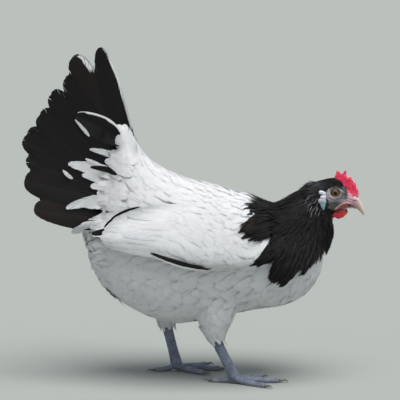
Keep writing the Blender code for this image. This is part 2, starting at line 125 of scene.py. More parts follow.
class Slot(Enum):
    """The finishes that the record names."""

    WHITE = "white_plumage"
    BLACK = "black_plumage"
    COMB = "comb_skin"
    LOBE = "lobe_skin"
    BEAK = "beak_horn"
    EYE = "eye"
    LEG = "slate_leg"
    CLAW = "claw_horn"


# ------------------------------------------------------------------------------------------ numbers
def ramp(value: float, low: float, high: float) -> float:
    """A smooth step from 0 at low to 1 at high. It falls where low is above high."""
    share = min(1.0, max(0.0, (value - low) / (high - low)))
    return share * share * (3.0 - 2.0 * share)


def bell(*offsets: float) -> float:
    """A soft bump: 1 where every offset is 0, and fading past 1."""
    return math.exp(-sum(offset**2 for offset in offsets))


def stepped(value: float, *stops: Pair) -> float:
    """A straight-line function through (input, output) stops in rising order."""
    return float(np.interp(value, *zip(*stops)))


def mottle(place: Vector, scale: float) -> float:
    """Noise from 0 to 1, with scale waves to a millimetre."""
    return 0.5 + 0.5 * noise.noise(place * scale)


def mixed(first: Numbers, second: Numbers, share: float) -> tuple[float, ...]:
    """The blend of two colours: first at share 0, second at share 1."""
    return tuple(a + (b - a) * share for a, b in zip(first, second))


def layered(colour: Numbers, *layers: tuple[Numbers, float]) -> Numbers:
    """A colour under layers of others, each with its weight."""
    for over, share in layers:
        colour = mixed(colour, over, share)
    return colour


# ------------------------------------------------------------------------------------------ finishes
class Shader:
    """A material under construction round one Principled BSDF."""

    def __init__(self, name: str, **constants: Any) -> None:
        """Starts the material.

        Args:
            name: the material's name.
            **constants: values of the shader's own sockets, with _ for a space.
        """
        self.material = bpy.data.materials.new(name)
        self.material.use_nodes = True
        self.tree = self.material.node_tree
        self.surface = self.tree.nodes["Principled BSDF"]
        for socket, value in constants.items():
            self.surface.inputs[socket.replace("_", " ")].default_value = value

    def node(self, kind: str, inputs: dict[str | int, Any], output: str | int = 0, **settings: Any) -> Socket:
        """Adds a node.

        Args:
            kind: its type, without ShaderNode.
            inputs: for each input's name or number, an output to link or a value.
            output: the name or number of the output that is wanted.
            **settings: its own properties.

        Returns:
            The output.
        """
        made = self.tree.nodes.new("ShaderNode" + kind)
        for name, value in settings.items():
            setattr(made, name, value)
        for name, value in inputs.items():
            if isinstance(value, Socket):
                self.tree.links.new(value, made.inputs[name])
            else:
                made.inputs[name].default_value = value
        return made.outputs[output]

    def sum(self, operation: str, *values: Any, kind: str = "Math", output: int = 0) -> Socket:
        """The outcome of a sum on numbers, or on vectors where the kind is VectorMath."""
        return self.node(kind, dict(enumerate(values)), output, operation=operation)

    def link(self, output: Socket, socket: str) -> None:
        """Links an output to a socket of the shader."""
        self.tree.links.new(output, self.surface.inputs[socket])

    def place(self) -> Socket:
        """The place in the object's own space."""
        return self.node("TexCoord", {}, "Object")

    def grain(self, scale: float) -> Socket:
        """Even noise about 0.5, with scale waves to a metre."""
        return self.node("TexNoise", {"Vector": self.place(), "Scale": scale, "Detail": 3.0})

    def ranged(self, value: Socket, low: float, high: float) -> Socket:
        """A 0 to 1 value brought to the range from low to high."""
        return self.node("MapRange", {"Value": value, "To Min": low, "To Max": high})

    def tinted(self, shade: Socket) -> None:
        """Colours the surface by its tint attribute times a grey shade."""
        tint = self.node("Attribute", {}, "Color", attribute_name="tint")
        self.link(self.sum("MULTIPLY", tint, shade, kind="VectorMath"), "Base Color")

    def bumped(self, *layers: tuple[Socket, float]) -> None:
        """Bumps the surface.

        Args:
            *layers: height values from 0 to 1, each with its real height in millimetres.
        """
        below = {}
        for height, depth in layers:
            normal = self.node("Bump", {"Height": height, "Strength": 1.0, "Distance": depth * MM, **below})
            below = {"Normal": normal}
        self.link(normal, "Normal")


@dataclass(frozen=True)
class PlumageFinish:
    """Feathers: each takes its colour from its tint, with fine barbs that run from shaft to edge and painted
    shade in the grooves between them.
    """

    name: str
    roughness: float
    sheen: float                # the soft light along the edges of a form
    barb_lines: float = 60.0    # barbs to the length of a feather
    barb_depth: float = 0.12    # their height in millimetres
    groove_shade: float = 0.10      # painted shade: how much darker the grooves are than the barbs
    gloss: float = 0.35

    def material(self) -> Material:
        """The finish as a material."""
        shader = Shader(
            self.name, Roughness=self.roughness, Sheen_Weight=self.sheen, Sheen_Roughness=0.5,
            Specular_IOR_Level=self.gloss,
        )
        order = shader.node("SeparateXYZ", {0: shader.node("UVMap", {}, uv_map="Vane")}, "Y")
        wave = shader.sum("SINE", shader.sum("MULTIPLY", order, self.barb_lines * 2.0 * math.pi))
        # painted shade: the base colour darkens in the grooves between barbs
        barbs = shader.ranged(wave, 1.0 - self.groove_shade, 1.0)
        shader.tinted(shader.sum("MULTIPLY", barbs, shader.ranged(shader.grain(160.0), 0.93, 1.07)))
        shader.bumped((shader.ranged(wave, 0.0, 1.0), self.barb_depth))
        return shader.material


@dataclass(frozen=True)
class SkinFinish:
    """Bare or hidden skin, coloured by its tint, with fine cells and wrinkles."""

    name: str
    roughness: float
    cell: float                 # the width of one bump in millimetres
    depth: float                # its height in millimetres
    variation: float = 0.15     # how much the shade varies over a few millimetres
    flesh: float = 0.2          # the weight of the light that passes under the surface

    def material(self) -> Material:
        """The finish as a material."""
        shader = Shader(
            self.name, Roughness=self.roughness, Subsurface_Weight=self.flesh, Subsurface_Scale=0.002,
            Subsurface_Radius=(1.0, 0.35, 0.25),
        )
        cells = shader.node("TexVoronoi", {"Vector": shader.place(), "Scale": 1.0 / (self.cell * MM)})
        grain = shader.grain(0.4 / (self.cell * MM))
        shader.tinted(shader.ranged(grain, 1.0 - self.variation, 1.0 + self.variation))
        shader.bumped((shader.ranged(cells, 1.0, 0.0), self.depth), (grain, self.depth))
        return shader.material


@dataclass(frozen=True)
class HornFinish:
    """Beak and claws: horn in faint layers along its length, coloured by its tint."""

    name: str
    roughness: float
    layer: float = 0.8          # the width of one layer in millimetres

    def material(self) -> Material:
        """The finish as a material."""
        shader = Shader(self.name, Roughness=self.roughness, Coat_Weight=0.15, Coat_Roughness=0.3)
        along = shader.node("Mapping", {"Vector": shader.place(), "Scale": (0.35, 1.0, 1.0)})
        layers = shader.node("TexNoise", {"Vector": along, "Scale": 1.0 / (self.layer * MM), "Detail": 4.0})
        shader.tinted(shader.ranged(layers, 0.86, 1.12))
        shader.bumped((layers, 0.08), (shader.grain(2500.0), 0.03))
        return shader.material


@dataclass(frozen=True)
class EyeFinish:
    """A wet eye seen along y: black pupil, ringed brown iris and dark rim."""

    name: str
    centre: Vector              # in metres
    pupil: float = 2.1          # radii in millimetres
    iris: float = 4.2
    reach: float = 5.0

    def material(self) -> Material:
        """The finish as a material."""
        shader = Shader(
            self.name, Roughness=0.25, Specular_IOR_Level=0.1, Coat_Weight=0.35, Coat_Roughness=0.02
        )
        back = tuple(-value for value in self.centre)
        centred = shader.node("Mapping", {"Vector": shader.place(), "Location": back})
        flat = shader.sum("MULTIPLY", centred, (1.0, 0.0, 1.0), kind="VectorMath")
        away = shader.sum("LENGTH", flat, kind="VectorMath", output=1)
        fibres = shader.sum("NORMALIZE", flat, kind="VectorMath")
        rays = shader.node("TexNoise", {"Vector": fibres, "Scale": 9.0, "Detail": 2.0})
        spoke = shader.sum("ADD", away, shader.ranged(rays, -0.25 * MM, 0.25 * MM))
        share = shader.node("MapRange", {"Value": spoke, "From Min": 0.0, "From Max": self.reach * MM})
        colours = shader.node("ValToRGB", {"Fac": share})
        pupil, iris = self.pupil / self.reach, self.iris / self.reach
        stops = (
            (0.0, (0.002, 0.002, 0.002)), (pupil - 0.03, (0.003, 0.002, 0.002)),
            (pupil + 0.03, (0.10, 0.052, 0.007)), (0.66, (0.21, 0.135, 0.011)),
            (iris - 0.05, (0.09, 0.06, 0.01)), (iris + 0.04, (0.01, 0.008, 0.008)),
        )
        elements = colours.node.color_ramp.elements
        while len(elements) < len(stops):
            elements.new(0.5)
        for element, (position, colour) in zip(elements, stops):
            element.position = position
            element.color = (*colour, 1.0)
        shader.link(colours, "Base Color")
        return shader.material


# ------------------------------------------------------------------------------------------ meshes
def mesh_of(name: str, form: Shape) -> bpy.types.Mesh:
    """A shape as a mesh. The shape is used up."""
    mesh = bpy.data.meshes.new(name)
    form.to_mesh(mesh)
    form.free()
    return mesh


def node_form(name: str, swell: float = 0.0) -> Shape:
    """A solid's own shape.

    Args:
        name: the solid's node.
        swell: how far its surface moves outwards.

    Returns:
        The shape, merged, in the hen's axes.
    """
    form = bmesh.new()
    form.from_mesh(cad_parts[name].data)
    bmesh.ops.remove_doubles(form, verts=form.verts, dist=0.001 * MM)
    bmesh.ops.transform(form, matrix=TO_HEN, verts=form.verts)
    form.normal_update()
    for vert in form.verts:
        vert.co += vert.normal * swell
    return form


def joined(forms: Iterable[Shape]) -> Shape:
    """Several shapes, which are used up, as one, loose in it."""
    whole = bmesh.new()
    for form in forms:
        mesh = mesh_of("part", form)
        whole.from_mesh(mesh)
        bpy.data.meshes.remove(mesh)
    return whole


def lump(middle: Numbers, radii: Numbers, lean: float = 0.0) -> Shape:
    """An ellipsoid.

    Args:
        middle: its middle.
        radii: half its length, width and height.
        lean: how far its top leans forward, in degrees.

    Returns:
        The shape.
    """
    form = bmesh.new()
    bmesh.ops.create_uvsphere(form, u_segments=24, v_segments=16, radius=1.0)
    turned = Matrix.Rotation(math.radians(lean), 4, "Y") @ Matrix.Diagonal((*radii, 1.0))
    bmesh.ops.transform(form, matrix=Matrix.Translation(middle) @ turned, verts=form.verts)
    return form


def smoothed(form: Shape, verts: Iterable[bmesh.types.BMVert], times: int) -> None:
    """Smooths some of a shape's vertices a few times."""
    axes = {f"use_axis_{letter}": True for letter in "xyz"}
    for _ in range(times):
        bmesh.ops.smooth_vert(form, verts=verts, factor=0.5, **axes)


def evened(form: Shape, voxel: float) -> Shape:
    """Melts a shape's solids into one smooth skin of even quads.

    Args:
        form: the shape, which is used up.
        voxel: the width of a quad.

    Returns:
        The skin's largest piece.
    """
    draft = bpy.data.objects.new("draft", mesh_of("draft", form))
    bpy.context.scene.collection.objects.link(draft)
    remesh = draft.modifiers.new("even", "REMESH")
    remesh.mode = "VOXEL"
    remesh.voxel_size = voxel
    skin = bmesh.new()
    skin.from_mesh(draft.evaluated_get(bpy.context.evaluated_depsgraph_get()).to_mesh())
    bpy.data.objects.remove(draft, do_unlink=True)
    unseen, largest = set(skin.verts), set()
    while unseen:
        island, waiting = set(), [unseen.pop()]
        while waiting:
            vert = waiting.pop()
            island.add(vert)
            found = {edge.other_vert(vert) for edge in vert.link_edges} & unseen
            unseen -= found
            waiting.extend(found)
        largest = max(largest, island, key=len)
    bmesh.ops.delete(skin, geom=[vert for vert in skin.verts if vert not in largest], context="VERTS")
    smoothed(skin, skin.verts, 4)
    skin.normal_update()
    return skin


def paint(mesh: bpy.types.Mesh, colours: Sequence[Numbers]) -> None:
    """Stores a colour for each vertex as the attribute tint."""
    tint = mesh.attributes.new("tint", "FLOAT_COLOR", "POINT")
    tint.data.foreach_set("color", np.c_[colours, np.ones(len(colours))].astype(np.float32).ravel())


def finished(mesh: bpy.types.Mesh, material: Material, slot: Slot, *nodes: str) -> None:
    """Makes a mesh in the hen's axes a piece of the model, riding on the root.

    Args:
        mesh: the mesh, whose name the piece takes.
        material: its finish.
        slot: the record's finish that it stands for. It is not used.
        *nodes: the solids that it takes the place of.
    """
    mesh.transform(TO_FRAME)
    mesh.shade_smooth()
    mesh.materials.append(material)
    piece = bpy.data.objects.new(mesh.name, mesh)
    bpy.context.scene.collection.objects.link(piece)
    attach(piece, "root")
    if nodes:
        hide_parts(*nodes)
    LOG.info("%s: %d faces", piece.name, len(mesh.polygons))


# ------------------------------------------------------------------------------------------ feathers
ROWS = 6                        # of a feather's bed, from root to tip
COLUMNS = (-1, 0, 1)            # edge, shaft, edge
AHEAD = Vector((1, 0, 0))
UP = Vector((0, 0, 1))
Axis = tuple[Vector, Vector]    # a point and a direction of the line that a piece is unwrapped round


@dataclass
class Bed:
    """What one feather lies on: rows of places from root to tip, and which way is out at each."""

    places: list[Vector]
    normals: list[Vector]
    root: Vector


@dataclass
class Template:
    """A feather's flat cut, as weights of its bed's places."""

    weights: np.ndarray
    heights: np.ndarray
    faces: np.ndarray
    flat: np.ndarray
    vane: np.ndarray
    outline: np.ndarray


@dataclass(frozen=True)
class Parting:
    """A split in one side of a vane, open at the edge."""

    place: float    # between which barbs, from 0 at the root to 1 at the tip
    depth: float    # how far in it reaches, as a share of the half-width
    gape: float     # how far each lip moves at the edge, as a share of the length

    @classmethod
    def drawn(cls, rng: Draw, gape: float) -> "Parting":
        """A split at random, mostly near the tip, and up to the gape."""
        return cls(1.0 - 0.75 * rng.random() ** 1.3, rng.uniform(0.25, 0.9), gape * rng.uniform(0.3, 1.0))

    def moved(self, order: float, middle: float, share: float) -> float:
        """Where a place near the split moves to.

        Args:
            order: the place's barb.
            middle: the middle barb of its strip, which tells its side of the split.
            share: how far from the shaft it is.

        Returns:
            The barb that it moves to.
        """
        opened = max(0.0, (share - 1.0 + self.depth) / self.depth) ** 1.5
        near = math.exp(-abs(order - self.place) / 0.05)
        return order + math.copysign(self.gape * opened * near, middle - self.place)


@dataclass(frozen=True)
class FeatherCut:
    """How one kind of feather is cut: barbs in strips, which leave a shaft along its middle."""

    barbs: int              # strips on each side
    steps: int              # quads along a strip
    tip: float              # how blunt the tip is: 2 is an oval, 8 nearly square
    waist: float = 0.5      # how narrow the root is, as a share of the width
    loose: float = 0.1      # how much narrower than its place each strip is at the edge, from 0 to 1
    ragged: float = 0.06    # how unequal their ends are, from 0 to 1
    wave: float = 0.15      # how far strips lie above or below each other
    partings: int = 1       # how many splits open in each side of the vane
    gape: float = 0.02      # how wide a split opens at the edge, as a share of the length
    shaft: float = 0.0      # the height of the shaft, or 0 to leave it out
    whole: int = 99         # from which seed on the vanes have no splits

    def half_width(self, along: float) -> float:
        """How wide the vane is at a share of its length, as a share of its greatest half-width."""
        flare = self.waist + (1.0 - self.waist) * math.sin(min(1.0, along / 0.55) * math.pi / 2)
        return flare * math.sqrt(max(0.0, 1.0 - along**self.tip))

    def barb(self, order: float, share: float) -> Pair:
        """A place on one barb.

        Args:
            order: which barb, from 0 at the root to 1 at the tip.
            share: how far along it, from 0 at the shaft to 1 at the edge.

        Returns:
            How far across and how far along the feather it is.
        """
        first_end = 0.16
        start = 0.995 * order
        end = first_end + (1.0 - first_end) * math.sin(order * math.pi / 2)
        edge = self.half_width(min(end, 0.9985))
        bend = start + 0.25 * (end - start)
        across = 2 * share * (1 - share) * 0.6 * edge + share**2 * edge
        along = (1 - share) ** 2 * start + 2 * share * (1 - share) * bend + share**2 * end
        return across, along

    def template(self, seed: int) -> Template:
        """Cuts one feather.

        Args:
            seed: chooses where it is split and ragged.

        Returns:
            The cut, with its places as weights of a bed's.
        """
        rng = np.random.default_rng(seed)
        form = bmesh.new()
        for side in Side:
            partings = [Parting.drawn(rng, self.gape) for _ in range(self.partings) if seed < self.whole]
            for number in range(self.barbs):
                self.add_strip(form, side.value, number, partings, rng)
        if self.shaft:
            self.add_shaft(form)
        form.verts.index_update()
        flat = np.array([vert.co for vert in form.verts])
        faces = np.array([[vert.index for vert in face.verts] for face in form.faces])
        form.free()
        weights = np.array([bed_weights(across, along) for across, along, _ in flat])
        slant = 0.25
        vane = np.stack([np.abs(flat[:, 0]), flat[:, 1] - slant * np.abs(flat[:, 0])], axis=1)
        outline = np.array([self.half_width(min(max(along, 0.0), 0.999)) for along in flat[:, 1]])
        return Template(weights, flat[:, 2], faces, flat[:, :2], vane, outline)

    def add_strip(self, form: Shape, side: int, number: int, partings: Sequence[Parting], rng: Draw) -> None:
        """Adds the barbs between two places on the shaft as one strip.

        Args:
            form: the feather so far, flat: x across, y along, z up in millimetres.
            side: the sign of x.
            number: the strip's place from the root.
            partings: the splits of this side.
            rng: draws the strip's length, width and height.
        """
        middle = (number + 0.5) / self.barbs
        reach = 1.0 - self.ragged * rng.random()
        loose = self.loose * rng.random()
        lift = self.wave * rng.uniform(-1.0, 1.0)
        for vert in bmesh.ops.create_grid(form, x_segments=self.steps, y_segments=1, size=0.5)["verts"]:
            share = (vert.co.x + 0.5) * reach
            keep = 1.04 - loose * share**2
            order = middle + side * vert.co.y * keep / self.barbs
            for parting in partings:
                order = parting.moved(order, middle, share)
            across, along = self.barb(min(max(order, 0.0), 1.0), share)
            vert.co = (side * across, along, lift * share)

    def add_shaft(self, form: Shape) -> None:
        """Adds the shaft to the flat feather as a low ridge that narrows to the tip."""
        for vert in bmesh.ops.create_grid(form, x_segments=2, y_segments=ROWS, size=0.5)["verts"]:
            along = (vert.co.y + 0.5) * 0.94
            width = 0.07 * (1.0 - 0.8 * along)
            height = self.shaft * (1.0 - 0.6 * along) if abs(vert.co.x) < 0.1 else -0.05
            vert.co = (2.0 * vert.co.x * width, along, height)


def bed_weights(across: float, along: float) -> np.ndarray:
    """How much each place of a bed counts at a place of the feather.

    Args:
        across: from -1 at one edge to 1 at the other.
        along: from 0 at the root to 1 at the tip.

    Returns:
        One weight for each of the bed's places, row by row.
    """
    columns = np.array((across * (across - 1) / 2, 1 - across * across, across * (across + 1) / 2))
    span = min(along, 0.9999) * (ROWS - 1)
    row, t = int(span), span % 1.0
    bend = (
        (-t + 2 * t * t - t**3) / 2, (2 - 5 * t * t + 3 * t**3) / 2,
        (t + 4 * t * t - 3 * t**3) / 2, (t**3 - t * t) / 2,
    )
    weights = np.zeros((ROWS, len(COLUMNS)))
    for offset, weight in enumerate(bend, -1):
        weights[min(max(row + offset, 0), ROWS - 1)] += weight * columns
    return weights.reshape(-1)


@dataclass
class Root:
    """Where a feather grows: a place on the coat's form, the way out of it, and its part of the coat."""

    place: Vector
    normal: Vector
    region: Region


TRIES = 7.0                     # places tried for each that is kept
PACKING = 1.4                   # how much room a root takes up, in squares of the gap
RUMP_START = (-60, 200)         # the (x, z) behind and above which the trunk is the rump, under the tail


class Surface:
    """The closed form that the tips of the coat reach to, sorted into regions."""

    def __init__(self, form: Shape, regions: dict[Region, BVHTree]) -> None:
        """Reads the form.

        Args:
            form: the form, in the hen's axes. It is kept.
            regions: the solid of each region.
        """
        self.form = form
        self.tree = BVHTree.FromBMesh(form)
        self.regions = regions
        middles = [face.calc_center_median() for face in form.faces]
        self.faces = [(middle, self.region_at(middle)) for middle in middles]
        self.areas = np.array([face.calc_area() for face in form.faces])

    def region_at(self, place: Vector) -> Region:
        """The region whose solid is nearest to a place. The trunk's upper rear counts as the rump."""
        nearest = min(self.regions, key=lambda region: self.regions[region].find_nearest(place)[3])
        rear = place.x < RUMP_START[0] and place.z > RUMP_START[1]
        return Region.RUMP if rear and nearest is Region.TRUNK else nearest

    def foot(self, point: Vector) -> tuple[Vector, Vector]:
        """The nearest place of the form and the way out there."""
        return self.tree.find_nearest(point)[:2]

    def spread(self, gap_at: Callable[[Vector, Region], float], seed: int) -> list[Root]:
        """Places roots evenly, out of many tried places.

        Args:
            gap_at: the distance between roots at a place, or 0 where none grow.
            seed: chooses the places.

        Returns:
            The roots, in a random order.
        """
        rng = np.random.default_rng(seed)
        gaps = np.array([gap_at(middle, region) for middle, region in self.faces])
        wanted = np.divide(self.areas * TRIES, gaps**2, out=np.zeros(len(gaps)), where=gaps > 0)
        tries = rng.choice(len(gaps), int(wanted.sum() / PACKING), p=wanted / wanted.sum())
        self.form.faces.ensure_lookup_table()
        places = []
        for index in tries:
            corners = [vert.co for vert in self.form.faces[index].verts]
            shares = rng.dirichlet(np.ones(len(corners)))
            places.append(sum((corner * share for corner, share in zip(corners, shares)), Vector()))
        tree = KDTree(len(places))
        for number, place in enumerate(places):
            tree.insert(place, number)
        tree.balance()
        free = np.ones(len(places), bool)
        roots = []
        for number, (place, index) in enumerate(zip(places, tries)):
            if free[number]:
                roots.append(Root(place, self.form.faces[index].normal.copy(), self.faces[index][1]))
                for _, other, _ in tree.find_range(place, gaps[index]):
                    free[other] = False
        return roots

    def bed(
        self, root: Root, heading: Vector, length: float, width: float, depth: float, lift: float, roll: float
    ) -> Bed:
        """Lays a feather's bed along the form.

        Args:
            root: where the feather grows.
            heading: which way it lies.
            length: from root to tip.
            width: from edge to edge.
            depth: how deep its root is under the form.
            lift: how far its tip stands off the form.
            roll: how far one edge lies under the other.

        Returns:
            The bed.
        """
        place, normal = root.place, root.normal
        heading = level(heading, normal)
        places, normals = [], []
        for row in range(ROWS):
            along = row / (ROWS - 1)
            height = -depth * (1.0 - along) ** 2 + lift * along * along
            across = heading.cross(normal).normalized() * (width / 2)
            for column in COLUMNS:
                foot, out = self.foot(place + across * column)
                places.append(foot + out * (height + roll * column))
                normals.append(out)
            place, normal = self.foot(place + heading * (length / (ROWS - 1)))
            heading = level(heading, normal)
        return Bed(places, normals, root.place)


def level(heading: Vector, normal: Vector) -> Vector:
    """A direction laid into the surface."""
    return (heading - normal * heading.dot(normal)).normalized()


@dataclass(frozen=True)
class Marking:
    """A colour along one edge of a feather."""

    edge: int = 0           # the sign of the edge, or 0 for none
    start: float = 0.0      # where along the feather it begins
    end: float = 1.0
    width: float = 0.2      # as a share of the half-width
    # white, brighter than the plumage's WHITE: partly a painted highlight on edges that catch the light
    colour: Numbers = (1.0, 1.0, 1.0)


@dataclass
class Plumage:
    """One piece of the coat: feathers of one cut, laid one by one and joined."""

    name: str
    cut: FeatherCut
    axis: Axis
    variants: int = 4       # how many different feathers are cut
    gallery: bool = False   # whether each has a patch of its own in the unwrap, for a few large ones
    feathers: list[tuple[Bed, tuple[Numbers, Numbers], Marking]] = field(default_factory=list)

    def lay(self, bed: Bed, root_tint: Numbers, tip_tint: Numbers, marking: Marking = Marking()) -> None:
        """Lays one feather on its bed, in the colours of its root, its tip and its edge."""
        self.feathers.append((bed, (root_tint, tip_tint), marking))

    def patches(self) -> tuple[np.ndarray, float]:
        """Where each feather's patch is in the unwrap, and how wide a patch is."""
        if self.gallery:
            columns = math.ceil(math.sqrt(len(self.feathers)))
            numbers = np.arange(len(self.feathers))
            return (np.stack([numbers % columns, numbers // columns], axis=1) + 0.5) / columns, 0.9 / columns
        middle, along = self.axis
        first = along.normalized().orthogonal().normalized()
        second = along.normalized().cross(first)
        offsets = [bed.root - middle for bed, _, _ in self.feathers]
        bearings = [math.atan2(offset.dot(second), offset.dot(first)) for offset in offsets]
        turns = [bearing / (2 * math.pi) + 0.5 for bearing in bearings]
        heights = np.array([offset.dot(along.normalized()) for offset in offsets])
        heights = (heights - heights.min()) / max(float(np.ptp(heights)), 1.0)
        return 0.01 + 0.98 * np.stack([np.array(turns), heights], axis=1), 0.003

    def piece(self, finish: Material, slot: Slot, *nodes: str) -> None:
        """Joins the feathers to a piece.

        Args:
            finish: their material.
            slot: the record's finish that they stand for.
            *nodes: the solids that they take the place of.
        """
        centres, width = self.patches()
        kinds, start = [], 0
        for variant in range(min(self.variants, len(self.feathers))):
            template = self.cut.template(variant)
            beds, pairs, markings = zip(*self.feathers[variant :: self.variants])
            places = np.array([bed.places for bed in beds])
            normals = np.array([bed.normals for bed in beds])
            laid = template.weights @ places + (template.weights @ normals) * template.heights[:, None]
            shifts = start + np.arange(len(beds)) * len(template.flat)
            start += len(beds) * len(template.flat)
            along = np.clip(template.flat[:, 1], 0.0, 1.0)[None, :, None]
            ends = np.array(pairs, float)
            tints = ends[:, :1] * (1.0 - along) + ends[:, 1:] * along
            for tint, marking in zip(tints, markings):
                rim = template.outline * (1.0 - marking.width)
                marked = (template.flat[:, 0] * marking.edge > rim) & (along[0, :, 0] > marking.start)
                if marking.edge:
                    tint[marked & (along[0, :, 0] < marking.end)] = marking.colour
            patch = (template.flat * (0.5, 1.0) - (0.0, 0.5)) * width
            bakes = centres[variant :: self.variants][:, None] + patch[None]
            vanes = np.tile(template.vane, (len(beds), 1))
            faces = template.faces[None] + shifts[:, None, None]
            arrays = (laid, faces, tints, vanes, bakes)
            kinds.append([values.reshape(-1, values.shape[-1]) for values in arrays])
        points, faces, tints, vanes, bakes = (np.concatenate(kind) for kind in zip(*kinds))
        mesh = bpy.data.meshes.new(self.name)
        mesh.vertices.add(len(points))
        mesh.vertices.foreach_set("co", points.astype(np.float32).ravel())
        mesh.loops.add(faces.size)
        mesh.loops.foreach_set("vertex_index", faces.astype(np.int32).ravel())
        mesh.polygons.add(len(faces))
        mesh.polygons.foreach_set("loop_start", np.arange(0, faces.size, 4, dtype=np.int32))
        mesh.update(calc_edges=True)
        for title, values in (("Vane", vanes), ("OFBake", bakes)):
            layer = mesh.uv_layers.new(name=title)
            layer.data.foreach_set("uv", values[faces.ravel()].astype(np.float32).ravel())
        paint(mesh, tints)
        finished(mesh, finish, slot, *nodes)


# ------------------------------------------------------------------------------------------ body
WHITE = (0.85, 0.855, 0.865)
SHADE = (0.74, 0.76, 0.80)      # painted bluish-grey shade of the white plumage, at a white feather's root and under the coat
BLACK = (0.006, 0.0055, 0.006)
SOFT_BLACK = (0.012, 0.0105, 0.011)
# sun-bleached brown at some black tips, partly a painted highlight
BROWN = (0.055, 0.034, 0.024)
LEGS = {                        # hock and ankle
    Side.RIGHT: (Vector((12.5, -37.0, 66.9)), Vector((41.0, -37.0, 8.5))),
    Side.LEFT: (Vector((-44.1, 37.0, 71.6)), Vector((-28.4, 37.0, 8.5))),
}
EYE_PLACE = Vector((161.8, 11.6, 226.6))
EYE_RADIUS = 5.6
EYE_DEPTH = 0.93                # the eyeball's half-width, as a share of its radius
OPENING = (4.9, 3.7)            # half the eye's opening, along x and z

HACKLE_CENTRE = Vector((120.0, 0.0, 188.0))
HACKLE_EDGE = (
    # (turn in degrees, reach) of the cape's lower edge round HACKLE_CENTRE, from the nape down to the throat
    (150, 55), (152.6, 66), (154.1, 50), (156.2, 79), (159, 62), (162, 69), (167.5, 52), (173, 75),
    (176.5, 77), (181, 63), (185.5, 60), (191.5, 41), (194.5, 36), (206.5, 50), (212, 60), (218, 69),
    (223.6, 55), (229, 43), (233, 65), (240.5, 73), (245, 67), (251.5, 74), (257, 63), (265.5, 51),
    (271, 48), (273, 57), (281, 51), (289, 45), (295.5, 48), (303, 42), (310, 46), (318, 90), (360, 90),
)
MOUNDS = (
    # the rump under the tail: middle, half its length, width and height, and how far it leans forward
    ((-82, 0, 268), (14, 15, 46), -24.0), ((-92, 0, 222), (34, 30, 38), 0.0),
)
FILLS = (
    # in the same way: the feathers that stand out at the crown's end, the fluff under the tail, the throat
    ((136, 0, 234.5), (9, 6, 3.2), 8.0), ((-112, 0, 143), (19, 28, 15), 0.0),
    ((151, 0, 194), (8.3, 9, 9), 0.0),
)
FANS = {                        # the places that the feathers of some parts lie away from
    "head": Vector((186, 0, 215)), "neck": Vector((158, 0, 232)), "rump": Vector((-20, 0, 215)),
}


def hackle_edge(place: Vector) -> float:
    """How far inside the lower edge of the neck feathers a place is."""
    away = place - HACKLE_CENTRE
    turn = math.degrees(math.atan2(away.z, away.x)) % 360.0
    return stepped(turn, *HACKLE_EDGE) - math.hypot(away.x, away.z)


def in_cape(place: Vector, region: Region, inside: float = 4.0) -> bool:
    """Whether a place of the neck, or of what the cape hangs over, is this far inside the cape's edge."""
    return region.kind not in ("thigh", "head", "rump") and hackle_edge(place) > inside


def tail_edge(place: Vector) -> float:
    """How far in front of the white coverts' rear edge a place is."""
    return place.x - stepped(
        place.z, (165, -128), (190, -116), (200, -108), (212, -114), (226, -120), (242, -106), (256, -99),
        (300, -98), (315, -96),
    )


def slit_edge(place: Vector) -> float:
    """How far above the dark slit under the wing a place is."""
    if place.x > 12:
        return 9.0
    return place.z - 6.0 - stepped(place.x, (-59, 163), (-42, 158.9), (-24, 154.6), (-6, 148.6), (12, 143))


def lie(root: Root) -> Vector:
    """Which way the feathers lie at a root."""
    place, kind = root.place, root.region.kind
    if kind in FANS:
        return place - FANS[kind]
    if kind == "wing":
        return Vector((-190, place.y * 0.6, 178)) - place
    if kind == "thigh":
        return Vector((-0.25, 0, -1))
    rise = 1.1 * ramp(place.z, 195, 255) * ramp(place.x, 20, -70)
    fall = 0.3 * ramp(place.z, 150, 95) + 0.9 * ramp(place.x, 95, 150)
    vent = 0.9 * ramp(place.x, -85, -125) * ramp(place.z, 190, 150)
    return Vector((-1, 0, rise - fall - vent))


def body_surface() -> Surface:
    """The form that the whole coat's tips reach to."""
    puff, quad = 0.4, 2.2       # how far the tips stand off the solids, and the width of the form's quads
    names = (*(region.value for region in FLESH), "eye_left", "eye_right")
    forms = [node_form(name, puff) for name in names] + [node_form(f"earlobe_{side.word}") for side in Side]
    forms += [lump(*shape) for shape in (*FILLS, *MOUNDS)]
    solids = {region: BVHTree.FromBMesh(node_form(region.value)) for region in FLESH}
    solids[Region.RUMP] = BVHTree.FromBMesh(joined(form.copy() for form in forms[-len(MOUNDS):]))
    return Surface(evened(joined(forms), quad), solids)


